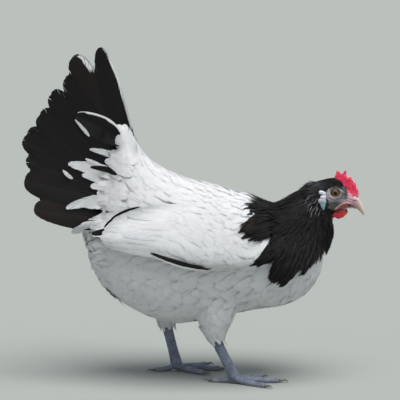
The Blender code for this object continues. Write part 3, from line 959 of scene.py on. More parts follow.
class Face:
    """The bare skin round the eye and before it, seen from the side."""

    def eye_ring(self, x: float, z: float) -> float:
        """A place's distance from the eye's middle: 1 at the edge of the opening."""
        return math.hypot((x - EYE_PLACE.x) / OPENING[0], (z - EYE_PLACE.z) / OPENING[1])

    def fold(self, x: float) -> float:
        """The height of the fold of skin that runs back from the corner of the beak."""
        return stepped(
            x, (158.3, 203.7), (162.4, 207.2), (167.2, 211.3), (172, 213.9), (176.9, 214.2), (183, 213.2),
            (189, 211.5),
        )

    def comb_line(self, x: float) -> float:
        """The height at which the bare skin before the eye meets the comb."""
        return stepped(x, (170, 233.5), (172, 233), (176, 231.5), (178, 228), (183, 224))

    def bareness(self, x: float, z: float) -> float:
        """How bare the head is at a place, from 0 under feathers to 1."""
        ring = ramp(math.hypot((x - 162.0) / 11.5, (z - 224.0) / 8.2), 1.1, 0.92)
        line = self.comb_line(x)
        lores = ramp(x, 170.5, 173) * ramp(z, line + 2.0, line) * ramp(z, 203.0, 205.5)
        bridge = ramp(x, 166, 169) * ramp(z, 222.0, 219.5) * ramp(z, 211.5, 213.5)
        jaw = ramp(x, 161, 164) * ramp(z, 203.5, 205.0) * ramp(z, self.fold(x) + 2.0, self.fold(x) + 1.0)
        cheek = ramp(x, 152, 155) * ramp(x, 172, 168) * ramp(z, 205, 208) * ramp(z, 222, 218)
        return max(ring, lores, bridge, jaw, cheek)

    def lobe(self, place: Vector) -> float:
        """A place's distance from the middle of the ear's two white spots: 1 at the edge of either."""
        top = math.hypot((place.x - 146.4) / 4.6, (place.z - 227.0) / 3.4)
        low = math.hypot((place.x - 146.4) / (5.0 * ramp(place.z, 205, 213) + 0.8), (place.z - 213.8) / 6.4)
        return min(top, low)

    def feathered(self, place: Vector) -> bool:
        """Whether feathers may grow at a place of the head."""
        if abs(place.y) > 12 and self.lobe(place) < 1.0:
            return False
        bare = self.bareness(place.x, place.z)
        return bare < 0.3 or (bare < 0.7 and noise.noise(place * 1.3) > 0.18)

    def relief(self, x: float, z: float) -> float:
        """How far the skin stands out at a place."""
        ring = self.eye_ring(x, z)
        hollow = -3.2 * ramp(ring, 1.25, 0.95)
        rim = 0.5 * bell((ring - 1.75) / 0.3)
        turn = math.degrees(math.atan2(z - EYE_PLACE.z, x - EYE_PLACE.x))
        brow = 1.1 * bell((ring - 2.1) / 0.4) * ramp(abs(turn - 80), 90, 30)
        pit = -0.9 * bell((x - 174.5) / 4.0, (z - 221.0) / 5.0)
        wrinkles = 0.22 * math.sin(0.9 * x + 1.9 * z + 2.0 * noise.noise(Vector((x, z, 0)) * 0.3))
        away = z - self.fold(x)
        ridge = (0.8 * bell(away) - 0.7 * bell((away + 2.4) / 1.1)) * ramp(x, 157, 161)
        lap = 0.45 * ramp(x, 178, 182)
        return hollow + rim + brow + pit + self.bareness(x, z) * wrinkles * ramp(ring, 1.3, 1.8) + ridge + lap

    def colour(self, place: Vector) -> Numbers:
        """The colour of the bare skin."""
        x, z = place.x, place.z
        mottled = mottle(place, 0.55)
        line, away = self.comb_line(x), z - self.fold(x)
        cheek = mixed((0.02, 0.024, 0.02), (0.12, 0.135, 0.12), ramp(mottle(place, 2.1), 0.2, 0.8))
        streak = bell((0.53 * (x - 169.2) + 0.85 * (z - 229.7)) / 0.8, (x - 169.2) / 2.6)
        mouth = mixed((0.34, 0.10, 0.09), (0.10, 0.025, 0.025), ramp(x, 175, 180) * ramp(away, -5.5, -2.5))
        return layered(
            mixed((0.17, 0.155, 0.17), (0.36, 0.33, 0.355), 0.5 * mottled + 0.5 * ramp(x, 166, 154)),
            ((0.03, 0.032, 0.034), 0.92 * ramp(z, 227.0, 230.5) * ramp(x, 153, 157)),       # painted shadow of the brow over the top of the ring
            ((0.11, 0.09, 0.10), 0.55 * ramp(x, 166.5, 170) * ramp(z, 220, 224)),           # before the eye
            (cheek, 0.9 * ramp(z, 218.5, 214.5)),
            (mixed((0.46, 0.24, 0.30), (0.62, 0.40, 0.46), mottled),                        # pink to the beak
             max(ramp(x, 176, 178.5), 0.7 * ramp(x, 163, 170) * ramp(abs(z - 216.5), 3.5, 1))),
            ((0.045, 0.03, 0.036), 0.6 * ramp(abs(x - 175.2), 2.6, 0.5) * ramp(z, 217, 222)),
            ((0.70, 0.10, 0.16), ramp(z, line - 4.0, line) * ramp(x, 176.5, 178)),          # up to the comb
            ((0.48, 0.40, 0.45), 0.9 * streak),
            ((0.03, 0.02, 0.022), ramp(self.eye_ring(x, z), 1.15, 1.0)),                    # round the eye
            ((0.60, 0.36, 0.36), ramp(abs(away), 1.8, 0.8) * ramp(x, 157, 163)),            # along the fold
            (mouth, ramp(away, -1.4, -2.2) * ramp(x, 160, 163)),
        )


FINE_SKIN = (134, 196)          # the (x, z) past which the skin is made of finer quads, for the face
SMOOTH_SKIN = (132, 194)        # and past which they are smoothed
SPREADING = 8                   # how many quads a change in the coat's thickness is spread over


def past(place: Vector, corner: Pair) -> bool:
    """Whether a place is in front of and above an (x, z)."""
    return place.x > corner[0] and place.z > corner[1]


@dataclass
class Skin:
    """The one skin that lies under the coat, with the folds of the face."""

    surface: Surface
    face: Face

    def depth(self, place: Vector, region: Region) -> float:
        """How thick the coat is at a place."""
        if region is Region.HEAD:
            return 1.3 * (1.0 - self.face.bareness(place.x, place.z))
        throat = ramp(place.x, 144, 152) * ramp(place.z, 172, 184)
        return {"trunk": 5.0, "neck": 4.0 - 2.8 * throat, "rump": 4.0}.get(region.kind, 3.0)

    def colour(self, place: Vector, region: Region) -> Numbers:
        """The skin's colour at a place: the coat's over it, in painted shade under white feathers, or the
        face's own.
        """
        if region is Region.HEAD:
            return mixed(BLACK, self.face.colour(place), self.face.bareness(place.x, place.z))
        if in_cape(place, region, 0.0):
            return mixed(SHADE, BLACK, ramp(hackle_edge(place), 0, 4))
        if region is Region.RUMP:
            return mixed(BLACK, SHADE, ramp(tail_edge(place), -4, 4))
        # under white feathers the skin takes SHADE, the painted shade that shows between them
        return SHADE

    def build(self, material: Material) -> None:
        """Builds the skin, which takes the place of the solids of flesh, in its finish."""
        form = self.surface.form.copy()
        for _ in range(2):
            edges = [edge for edge in form.edges if all(past(vert.co, FINE_SKIN) for vert in edge.verts)]
            bmesh.ops.subdivide_edges(form, edges=edges, cuts=1, use_grid_fill=True)
        smoothed(form, [vert for vert in form.verts if past(vert.co, SMOOTH_SKIN)], 3)
        form.normal_update()
        form.verts.index_update()
        regions = [self.surface.region_at(vert.co) for vert in form.verts]
        sinks = np.array([self.depth(vert.co, region) for vert, region in zip(form.verts, regions)])
        ends = np.array([[vert.index for vert in edge.verts] for edge in form.edges])
        degrees = np.bincount(ends.ravel(), minlength=len(sinks))
        for _ in range(SPREADING):
            total = np.bincount(ends[:, 0], sinks[ends[:, 1]], len(sinks))
            total += np.bincount(ends[:, 1], sinks[ends[:, 0]], len(sinks))
            sinks = 0.3 * sinks + 0.7 * total / degrees
        colours = [self.colour(vert.co, region) for vert, region in zip(form.verts, regions)]
        for vert, region, sink in zip(form.verts, regions, sinks):
            bare = region is Region.HEAD and abs(vert.co.y) > 4
            vert.co += vert.normal * ((self.face.relief(vert.co.x, vert.co.z) if bare else 0.0) - sink)
        mesh = mesh_of("skin", form)
        paint(mesh, colours)
        finished(mesh, material, Slot.WHITE, *(region.value for region in FLESH))


# ------------------------------------------------------------------------------------------ coat
def white_tints(place: Vector, rng: Draw) -> tuple[Numbers, Numbers]:
    """The colours of a white feather's root and tip."""
    # roots in SHADE, painted shade; some tips a little shaded at random
    share = rng.uniform(0.0, 0.35)
    return mixed(SHADE, WHITE, share), mixed(WHITE, SHADE, 0.5 * share)


def hackle_tints(place: Vector, rng: Draw) -> tuple[Numbers, Numbers]:
    """The colours of a neck feather, browner at some tips behind: sun-bleached, and partly painted highlight.
    """
    brown = BROWN if rng.random() < 0.4 * ramp(place.x, 110, 70) else SOFT_BLACK
    return BLACK, mixed(BLACK, brown, rng.uniform(0.2, 1.0))


def head_tints(place: Vector, rng: Draw) -> tuple[Numbers, Numbers]:
    """The colours of a feather of the head, with a painted sheen on some tips and on the nape."""
    chance = rng.random()
    nape = ramp(place.x, 156, 148) * ramp(place.x, 128, 134) * ramp(place.z, 229, 234)
    # painted sheen: lighter blue-grey tips at random, and more of it on the nape
    painted_sheens = ((0.035, 0.035, 0.045), chance**3), ((0.13, 0.13, 0.17), 0.7 * nape * chance)
    return BLACK, layered(SOFT_BLACK, *painted_sheens)


def ear_tints(place: Vector, rng: Draw) -> tuple[Numbers, Numbers]:
    """The colours of a pale bristle behind the ear."""
    share = rng.random() ** 1.5 * (0.3 + 0.7 * ramp(place.x, 126, 140))
    return (0.08, 0.08, 0.085), mixed((0.10, 0.10, 0.11), (0.50, 0.51, 0.55), share)


def face_tints(place: Vector, rng: Draw) -> tuple[Numbers, Numbers]:
    """The colours of a short bristle of the face."""
    return BLACK, mixed(BLACK, (0.10, 0.10, 0.10), rng.random())


@dataclass(frozen=True)
class Patch:
    """Feathers of one kind, laid over part of the coat."""

    name: str
    cut: FeatherCut
    covers: Test                # whether they grow at a place
    gap: float                  # the distance between roots
    length: float               # of a feather
    width: float
    depth: float                # how deep its root is under the form
    lift: float                 # how far its tip stands off the form
    tints: Callable[[Vector, Draw], tuple[Numbers, Numbers]] = white_tints
    stray: float = 0.12         # how far it turns off the lie of the coat, in radians
    scale: Callable[[Vector], float] = lambda place: 1.0
    room: Callable[[Vector], float] = lambda place: 1.0     # below 0 where no feather may reach
    axis: Axis = (Vector((0, 0, 150)), AHEAD)
    towards: Callable[[Root], Vector] = lie

    def gap_at(self, place: Vector, region: Region) -> float:
        """The distance between roots at a place, or 0 where none grow."""
        return self.gap * self.scale(place) if self.covers(place, region) else 0.0

    def build(self, surface: Surface, seed: int, material: Material, slot: Slot) -> None:
        """Lays the feathers.

        Args:
            surface: the coat's form.
            seed: chooses their places and turns.
            material: their finish.
            slot: the record's finish that they stand for.
        """
        rng = np.random.default_rng(seed)
        plumage = Plumage(self.name, self.cut, self.axis)
        for root in surface.spread(self.gap_at, seed):
            size = self.scale(root.place) * rng.uniform(0.88, 1.12)
            heading = level(self.towards(root), root.normal)
            heading.rotate(Matrix.Rotation(rng.normal(0.0, self.stray), 3, root.normal))
            length = self.length * size
            while length > 4.0 and self.room(root.place + heading * length) < 0.0:
                length *= 0.9
            if length < 0.35 * self.length * size:
                continue
            bed = surface.bed(
                root, heading, length, self.width * size, self.depth,
                self.lift * rng.uniform(0.3, 1.2), rng.uniform(-0.012, 0.012) * self.width,
            )
            plumage.lay(bed, *self.tints(root.place, rng))
        plumage.piece(material, slot)


BODY_CUT = FeatherCut(barbs=8, steps=2, tip=2.2, waist=0.55, loose=0.3, ragged=0.12, wave=0.06)
MIDDLE = 20.0                   # the x between the breast, and the flanks and back
REAR = -92.0                    # the x between the flanks and the vent
SADDLE = 205.0                  # the z between the flanks and the back
HEM = 7.0                       # how far under the cape white feathers grow


def white_patches() -> list[Patch]:
    """The white feathers, from the breast to the rump."""
    def bare(place: Vector) -> bool:
        """Whether the cape leaves a place uncovered."""
        return hackle_edge(place) < HEM

    trunk = Region.TRUNK
    loose = FeatherCut(barbs=9, steps=2, tip=2.0, loose=0.6, ragged=0.3, wave=0.4, gape=0.05, partings=2)
    return [
        # name, cut, where they grow, gap, length, width, depth, lift
        Patch("breast_feathers", BODY_CUT,
              lambda place, region: region in (trunk, Region.NECK) and place.x > MIDDLE and bare(place),
              6.0, 32.0, 20.0, 4.0, 0.1),
        Patch("flank_feathers", BODY_CUT,
              lambda place, region: region is trunk and REAR < place.x <= MIDDLE and place.z < SADDLE,
              6.5, 36.0, 22.0, 4.0, 0.15),
        Patch("back_feathers", BODY_CUT,
              lambda place, region: region is trunk and place.x <= MIDDLE and place.z >= SADDLE
              and bare(place),
              5.5, 38.0, 20.0, 3.5, 0.1, stray=0.08),
        Patch("vent_fluff", loose,
              lambda place, region: region is trunk and place.x <= REAR and place.z < SADDLE,
              5.5, 34.0, 15.0, 4.5, 3.0, stray=0.25),
        Patch("rump_feathers", BODY_CUT, lambda place, region: region is Region.RUMP and tail_edge(place) > 2,
              6.0, 40.0, 17.0, 4.0, 0.25, room=tail_edge, stray=0.08),
    ]


def wing_axis(side: Side) -> Axis:
    """The line that the pieces of a wing are unwrapped round."""
    return side.out(0, 40, 180), AHEAD


def thigh_axis(side: Side) -> Axis:
    """The line that the pieces of a thigh are unwrapped round."""
    return side.out(10, 37, 80), UP


def covert_patch(side: Side) -> Patch:
    """The small feathers over the front of one wing."""
    wing = Region(f"wing_{side.word}")
    cut = FeatherCut(barbs=9, steps=2, tip=2.6, wave=0.05)
    return Patch(
        f"wing_coverts_{side.word}", cut,
        lambda place, region: region is wing and slit_edge(place) > 0 and hackle_edge(place) < 6
        and place.x > -14 + 0.35 * (place.z - 180) + 16 * noise.noise(place * 0.05),
        5.0, 34.0, 15.0, 3.0, 0.1, scale=lambda place: 0.7 + 0.4 * ramp(place.x, 70, 0), stray=0.06,
        room=slit_edge, axis=wing_axis(side),
    )


def thigh_patch(side: Side) -> Patch:
    """The feathers of one thigh, down to its cuff."""
    thigh = Region(f"thigh_{side.word}")
    cut = FeatherCut(barbs=7, steps=2, tip=2.3, loose=0.3, ragged=0.15)
    return Patch(
        f"thigh_feathers_{side.word}", cut, lambda place, region: region is thigh, 4.6, 24.0, 13.0, 2.8, 0.2,
        scale=lambda place: 0.6 + 0.5 * ramp(place.z, 55, 100), axis=thigh_axis(side),
    )


def hip_patch(side: Side) -> Patch:
    """The feathers that lie over the fold between one thigh and the belly behind it."""
    thigh = Region(f"thigh_{side.word}")
    middle = side.out(-4.0 if side is Side.RIGHT else -50.0, 40.0, 92.0)
    return Patch(
        f"hip_feathers_{side.word}", BODY_CUT,
        lambda place, region: region in (Region.TRUNK, thigh) and (place - middle).length < 19,
        5.0, 24.0, 15.0, 1.6, 0.9, axis=thigh_axis(side), towards=lambda root: Vector((-0.5, 0, -1)),
    )


def hackle_patches() -> list[Patch]:
    """The black cape of narrow pointed feathers, and its locks, which lie over the white feathers."""
    cut = FeatherCut(barbs=9, steps=1, tip=1.25, waist=0.75, loose=0.25, ragged=0.15, gape=0.05)
    crown = FANS["neck"]

    def size(place: Vector) -> float:
        """How large the feathers are: smaller near the head, and least at the throat."""
        return (0.42 + 0.58 * ramp((place - crown).length, 15, 85)) * (1.0 - 0.55 * ramp(place.x, 148, 155))

    def room(place: Vector) -> float:
        """How far a place is from the cape's ragged edge."""
        return hackle_edge(place) + 2.0 * noise.noise(place * 0.3)

    def locks(place: Vector, region: Region) -> bool:
        """Whether a place lies in the band where the locks grow."""
        return in_cape(place, region, 6.0) and place.x < 125 and room(place) < 48

    shared = {
        "tints": hackle_tints, "stray": 0.10, "scale": size, "room": room,
        "axis": (HACKLE_CENTRE, Vector((0.7, 0, 0.7))), "towards": lambda root: root.place - crown,
    }
    return [
        Patch("hackle", cut, lambda place, region: region is Region.NECK or in_cape(place, region),
              4.0, 44.0, 7.5, 3.8, 0.8, **shared),
        Patch("hackle_locks", cut, locks, 4.4, 40.0, 8.0, 1.0, 1.7, **shared),
    ]


def head_patches(face: Face) -> list[Patch]:
    """The small feathers and bristles of the head, and the tuft that stands off the nape."""
    short = FeatherCut(barbs=4, steps=1, tip=1.8, waist=0.6, loose=0.2, ragged=0.1, wave=0.1)
    bristle = FeatherCut(barbs=3, steps=1, tip=1.3, waist=0.8, loose=0.0, ragged=0.0, partings=0, wave=0.0)
    axis = (Vector((160, 0, 222)), AHEAD)

    def behind_ear(place: Vector, region: Region) -> bool:
        """Whether a place lies in the fan of pale bristles behind the ear."""
        away = math.hypot((place.x - 138) / 10.5, (place.z - 216) / 10.5)
        return abs(place.y) > 10 and away < 1.0 < face.lobe(place) and face.bareness(place.x, place.z) < 0.1

    def on_face(place: Vector, region: Region) -> bool:
        """Whether a place lies on the bare cheek or before the eye."""
        cheek = 153 < place.x < 168 and 205 < place.z < 216.5 and place.z > face.fold(place.x) + 2.0
        before = abs(place.x - 175) < 1.8 and 217 < place.z < face.comb_line(place.x)
        return region is Region.HEAD and abs(place.y) > 4 and (cheek or before and noise.noise(place) > 0.05)

    def on_nape(place: Vector, region: Region) -> bool:
        """Whether a place lies on the end of the crown."""
        return 130 < place.x < 143 and place.z > 232 and abs(place.y) < 6

    return [
        Patch("head_feathers", short,
              lambda place, region: region is Region.HEAD and place.x < 186 and face.feathered(place),
              2.0, 9.5, 3.0, 1.4, 0.35, head_tints, stray=0.15, axis=axis,
              scale=lambda place: 0.55 + 0.45 * ramp((place - Vector((180, 0, 220))).length, 10, 40)),
        Patch("nape_tuft", short, on_nape, 2.4, 13.0, 3.2, 1.0, 2.4, head_tints, stray=0.2, axis=axis,
              towards=lambda root: Vector((-1, 0, -0.1))),
        Patch("ear_bristles", bristle, behind_ear, 2.7, 7.5, 1.0, 0.4, 0.9, ear_tints, stray=0.22, axis=axis,
              towards=lambda root: root.place - Vector((156, 0, 236))),
        Patch("face_bristles", bristle, on_face, 1.25, 3.0, 0.5, 0.2, 0.35, face_tints, stray=0.3, axis=axis),
    ]


def build_coat(surface: Surface, face: Face, soft: Material, dark: Material) -> None:
    """Lays all the small feathers.

    Args:
        surface: the form that they reach to.
        face: the part of the head that they leave bare.
        soft: the finish of the white ones.
        dark: the finish of the black ones.
    """
    patches = white_patches()
    for side in Side:
        patches += [covert_patch(side), thigh_patch(side)]
    patches += [hip_patch(side) for side in Side]
    for seed, patch in enumerate(patches):
        patch.build(surface, seed, soft, Slot.WHITE)
    for seed, patch in enumerate((*hackle_patches(), *head_patches(face)), 40):
        patch.build(surface, seed, dark, Slot.BLACK)


# ------------------------------------------------------------------------------------------ tail and wings
TAIL_AXIS = (Vector((-84.0, 0.0, 226.0)), AHEAD)
TAIL_FEATHERS = (
    # from the top of the fan to the lowest: rise in degrees, length, width, how far it narrows to its tip,
    # how much lower than the fan's bow its root is, and how brown its tip is: sun-bleached, and partly
    # painted highlight
    (103.0, 178, 37, 0.25, 0, 0.12), (112.3, 178, 42, 0.0, 0, 0.25), (118.5, 160, 33, 0.1, 0, 0.12),
    (127.3, 155, 38, 0.1, 0, 0.12), (137.3, 148, 42, 0.05, 0, 0.12), (148.7, 149, 42, 0.05, 0, 0.12),
    (155.5, 137, 38, 0.05, 0, 0.12), (165.0, 133, 46, 0.0, 0, 0.12), (168.5, 121, 38, 0.1, 20, 0.35),
)
TAIL_MARKINGS = (Marking(-1, 0.42, 0.985, 0.19), Marking(-1, 0.86, 0.995, 0.4))


def tail_bed(side: Side, pair: int) -> Bed:
    """Lays one tail feather's bed.

    Args:
        side: which half of the fan.
        pair: counted from the top.

    Returns:
        The bed, cambered and bent a little towards the tip.
    """
    degrees, length, width, narrowing, drop, _ = TAIL_FEATHERS[pair]
    share = pair / (len(TAIL_FEATHERS) - 1)
    rise, splay = math.radians(degrees), math.radians(2.0 + 18.0 * share)
    along = side.out(math.cos(rise) * math.cos(splay), math.sin(splay), math.sin(rise) * math.cos(splay))
    across = side.out(-math.sin(rise), 0.28, math.cos(rise)).normalized()
    outward = across.cross(along).normalized()
    outward *= side.value * math.copysign(1.0, outward.y)
    start = TAIL_AXIS[0] + side.out(5.0 * (1.0 - share) ** 4, 0.9 + 1.2 * pair, -14.0 * share**2 - drop)
    places = []
    for row in range(ROWS):
        t = row / (ROWS - 1)
        middle = start + along * (length * t)
        for column in COLUMNS:
            camber = outward * (-1.6 * abs(column) - 1.0 * t * t * (column != 0))
            places.append(middle + across * (column * width / 2 * (1.0 - narrowing * t**3)) + camber)
    return Bed(places, [outward] * len(places), start)


def tail_feathers(material: Material) -> list[Bed]:
    """Builds the two fans of broad black feathers, which take the place of the solid tail.

    Args:
        material: their finish.

    Returns:
        Their beds. The coverts lie on them.
    """
    cut = FeatherCut(
        barbs=64, steps=12, tip=5.5, waist=0.32, loose=0.03, ragged=0.02, partings=3, whole=14, gape=0.016,
        shaft=0.9, wave=0.2,
    )
    plumage = Plumage("tail_feathers", cut, TAIL_AXIS, variants=2 * len(TAIL_FEATHERS), gallery=True)
    rng = np.random.default_rng(3)
    for pair, (*_, browned) in enumerate(TAIL_FEATHERS):
        marking = TAIL_MARKINGS[pair] if pair < len(TAIL_MARKINGS) else Marking()
        for side in Side:
            # brown tips: sun-bleached, and partly painted highlight
            tip = mixed(BLACK, BROWN, browned * rng.uniform(0.6, 0.9))
            plumage.lay(tail_bed(side, pair), BLACK, tip, marking)
    plumage.piece(material, Slot.BLACK, "tail")
    return [bed for bed, _, _ in plumage.feathers]


class SideView:
    """Finds the outermost surface of the hen's sides, to lay large feathers on."""

    def __init__(self, surface: Surface, beds: Sequence[Bed] = ()) -> None:
        """Gathers the surfaces.

        Args:
            surface: the coat's form.
            beds: feathers that lie over it.
        """
        self.trees = [surface.tree]
        corners = [place for bed in beds for place in bed.places]
        wide = len(COLUMNS)
        quads = [
            (first, first + 1, first + 1 + wide, first + wide) for first in range(len(corners))
            if first % wide < wide - 1 and first % (ROWS * wide) < (ROWS - 1) * wide
        ]
        if quads:
            self.trees.append(BVHTree.FromPolygons(corners, quads))

    def reach(self, side: Side, x: float, z: float, otherwise: float) -> float:
        """How far a side reaches from the middle plane.

        Args:
            side: which side.
            x: the place's x.
            z: its z.
            otherwise: the answer where nothing is hit.

        Returns:
            The distance.
        """
        outside = 150.0
        casts = [tree.ray_cast(side.out(x, outside, z), side.out(0, -1, 0), outside) for tree in self.trees]
        return max((outside - cast[3] for cast in casts if cast[3] is not None), default=otherwise)

    def draped(
        self, side: Side, line: Sequence[Pair], width: float, heights: Pair,
        within: Callable[[float, float], Pair] = lambda x, z: (x, z),
    ) -> Bed:
        """Lays a bed on a side of the hen.

        Args:
            side: which side.
            line: the (x, z) of its root, of a place that it bends towards, and of its tip.
            width: from edge to edge.
            heights: how far it lies above what is under it, at the root and at the tip.
            within: moves an (x, z) to the nearest one that the wing's own surface covers.

        Returns:
            The bed.
        """
        start, bend, end = (Vector((x, 0, z)) for x, z in line)
        shares = [row / (ROWS - 1) for row in range(ROWS)]
        middles = [start.lerp(bend, share).lerp(bend.lerp(end, share), share) for share in shares]
        places, last = [], 10.0         # the last reach is the next one's where nothing is hit
        for row, middle in enumerate(middles):
            heading = (middles[min(row + 1, ROWS - 1)] - middles[max(row - 1, 0)]).normalized()
            across = Vector((heading.z, 0, -heading.x)) * (width / 2)
            height = heights[0] + (heights[1] - heights[0]) * row / (ROWS - 1)
            for column in COLUMNS:
                place = middle + across * column
                last = self.reach(side, *within(place.x, place.z), last)
                places.append(side.out(place.x, last + height, place.z))
        return Bed(places, [side.out(0, 1, 0)] * len(places), start)


@dataclass(frozen=True)
class Covert:
    """One feather over the base of the tail, as seen from the side."""

    root: Pair                  # its (x, z)
    bend: Pair                  # a place that it bends towards
    tip: Pair
    width: float
    colour: Numbers = WHITE
    marking: Marking = Marking()


TAIL_COVERTS = tuple(Covert(*line) for line in (
    ((-78, 262), (-84, 288), (-91, 308), 20), ((-80, 262), (-92, 282), (-99, 293), 18),
    ((-80, 256), (-96, 270), (-107, 276), 18), ((-84, 262), (-110, 276), (-131, 280), 9),
    ((-80, 250), (-100, 261), (-113, 266), 16), ((-112, 256), (-123, 262), (-136, 269), 6),
    ((-92, 246), (-128, 258), (-156, 264), 17), ((-96, 240), (-118, 246), (-140, 250), 14),
    ((-84, 232), (-110, 238), (-130, 236), 16), ((-84, 226), (-112, 232), (-122, 226), 18),
    ((-96, 219), (-130, 222), (-158.5, 212), 15), ((-86, 214), (-112, 218), (-138, 214), 18),
    ((-92, 205), (-120, 192.5), (-152.5, 182.5), 20), ((-84, 206), (-106, 200), (-130, 186), 18),
    ((-131, 295), (-138, 305), (-148, 316), 4.5), ((-150.5, 246), (-158, 251.5), (-162, 257), 5),
))
DARK_COVERTS = (
    # a black feather with a white edge, and one that shows between two white ones
    Covert((-92, 285), (-114, 305), (-147, 321), 31, BLACK, Marking(1, 0.12, 0.985, 0.19)),
    Covert((-98, 251), (-110, 257), (-130, 259.5), 7.5, BLACK),
)


def tail_coverts(view: SideView, pale: Material, dark: Material) -> None:
    """Lays the feathers that run out over the black fan on both sides.

    Args:
        view: what they lie on.
        pale: the finish of the white ones.
        dark: the finish of the black ones.
    """
    ragged = FeatherCut(
        barbs=22, steps=4, tip=2.6, loose=0.2, ragged=0.1, partings=2, gape=0.04, shaft=0.4, wave=0.3
    )
    neat = FeatherCut(
        barbs=30, steps=10, tip=2.6, waist=0.35, loose=0.0, ragged=0.0, partings=0, shaft=0.5, wave=0.05
    )
    rng = np.random.default_rng(11)
    for name, cut, coverts, base, rise, material, slot in (
        ("tail_coverts", ragged, TAIL_COVERTS, 0.8, 0.12, pale, Slot.WHITE),
        ("dark_tail_coverts", neat, DARK_COVERTS, 0.5, 7.0, dark, Slot.BLACK),
    ):
        plumage = Plumage(name, cut, TAIL_AXIS, variants=len(coverts), gallery=True)
        for number, covert in enumerate(coverts):
            height = base + rise * number
            for side in Side:
                line = (covert.root, covert.bend, covert.tip)
                bed = view.draped(side, line, covert.width, (height, height + 0.6))
                tip = covert.colour
                if slot is Slot.WHITE:
                    # white tips partly in painted shade, at random
                    tip = mixed(tip, SHADE, rng.uniform(0.1, 0.5))
                plumage.lay(bed, covert.colour, tip, covert.marking)
        plumage.piece(material, slot)


def cuff_feathers(side: Side, material: Material) -> None:
    """Lays the fringe that hangs from a thigh's cuff over the shank, in its finish."""
    cut = FeatherCut(barbs=8, steps=2, tip=1.8, waist=0.7, loose=0.5, ragged=0.25, wave=0.3)
    hock, ankle = LEGS[side]
    down = (ankle - hock).normalized()
    plumage = Plumage(f"cuff_feathers_{side.word}", cut, (hock, UP))
    rng = np.random.default_rng(21)
    count, rounds = 44, 2.0
    spread = 0.42                       # half a feather's width, in radians
    stretch = 1.12                      # how much longer than wide the cuff is
    for number in range(count):
        turn = 2 * math.pi * (number + rng.uniform(-0.3, 0.3)) / count * rounds
        first, length = rng.uniform(-4.0, 7.0), rng.uniform(14.0, 20.0)
        places, normals = [], []
        for row in range(ROWS):
            along = first + length * row / (ROWS - 1)
            radius = stepped(along, (-4, 12.4), (8, 10.2), (17, 9.4), (27, 8.6))
            for column in COLUMNS:
                bearing = turn + spread * column
                out = Vector((math.cos(bearing), math.sin(bearing), 0.0))
                places.append(hock + down * along + Vector((stretch * out.x, out.y, 0.0)) * radius)
                normals.append(out)
        # roots in painted shade, tips partly shaded at random
        plumage.lay(Bed(places, normals, places[1]), SHADE, mixed(WHITE, SHADE, rng.uniform(0.2, 0.6)))
    plumage.piece(material, Slot.WHITE)


@dataclass
class Wing:
    """The long feathers of one folded wing."""

    side: Side
    view: SideView

    def within(self, x: float, z: float) -> Pair:
        """The nearest place to an (x, z) that is well inside the wing's outline."""
        rear, margin = -112.0, 5.0
        x = max(x, rear)
        low = stepped(
            x, (-120, 178), (-113, 170), (-86, 166.5), (-61, 162.5), (-42, 158), (-24, 153.5), (-6, 148),
            (10, 143.5), (30, 143),
        ) + margin
        high = stepped(x, (-120, 179), (-104, 197), (-72, 214), (-40, 221), (20, 222)) - margin
        return x, min(max(z, low), max(low, high))

    def build(self, material: Material) -> None:
        """Builds the long feathers in their finish, the lowest first and each over the last."""
        cut = FeatherCut(
            barbs=40, steps=4, tip=5.0, waist=0.6, loose=0.03, ragged=0.02, gape=0.012, shaft=0.5, wave=0.1
        )
        plumage = Plumage(f"flight_feathers_{self.side.word}", cut, wing_axis(self.side), gallery=True)
        count, width = 9, 19.0
        for number in range(count):
            share = number / (count - 1)
            tip_x = stepped(share, (0, -115), (0.25, -118), (0.5, -113), (0.75, -103), (1, -86))
            tip_z = stepped(share, (0, 173), (0.25, 179), (0.5, 188), (0.75, 198), (1, 206))
            root = (34.0 - 10.0 * share, 157.0 + 52.0 * share)
            bend = ((root[0] + tip_x) / 2, (root[1] + tip_z) / 2 + 2.0 + 4.0 * (share - 0.5))
            heights = (-2.5, 0.6 + 0.2 * number)
            bed = self.view.draped(self.side, (root, bend, (tip_x, tip_z)), width, heights, self.within)
            # tips a little in painted shade, and the lower edge, which lies over the next feather, in painted
            # shade
            plumage.lay(bed, WHITE, mixed(WHITE, SHADE, 0.25), Marking(-1, 0.0, 1.0, 0.1, SHADE))
        plumage.piece(material, Slot.WHITE)

    def dark_feathers(self, material: Material) -> None:
        """Builds the black parts: a quill below, a tip behind, and two thin strips of painted shadow along
        the top.
        """
        cut = FeatherCut(
            barbs=30, steps=10, tip=4.0, waist=0.4, loose=0.0, ragged=0.0, partings=0, shaft=0.5, wave=0.05
        )
        name = f"dark_quills_and_shadow_{self.side.word}"
        plumage = Plumage(name, cut, wing_axis(self.side), variants=2, gallery=True)
        for *line, width, height, marking in (
            # root, bend, tip, width, height, white edge
            # its white lower edge is brighter than the plumage: partly painted highlight on a rim that
            # catches the light
            ((11, 145), (-23, 149), (-58, 163.5), 7.8, 1.6, Marking(-1, 0.0, 1.0, 0.55)),
            # two thin black strips along the wing's upper rear edge: painted shadow of the gap between wing
            # and body
            ((-70, 215.5), (-90, 211), (-105, 200), 3.2, 1.2, Marking()),
            ((-101, 201), (-108, 197), (-113, 190), 3.0, 1.2, Marking()),
            ((-98, 186), (-110, 184), (-128, 182), 10.0, -0.4, Marking(-1, 0.0, 1.0, 0.3)),
        ):
            bed = self.view.draped(self.side, line, width, (height, height), self.within)
            plumage.lay(bed, BLACK, SOFT_BLACK, marking)
        plumage.piece(material, Slot.BLACK)


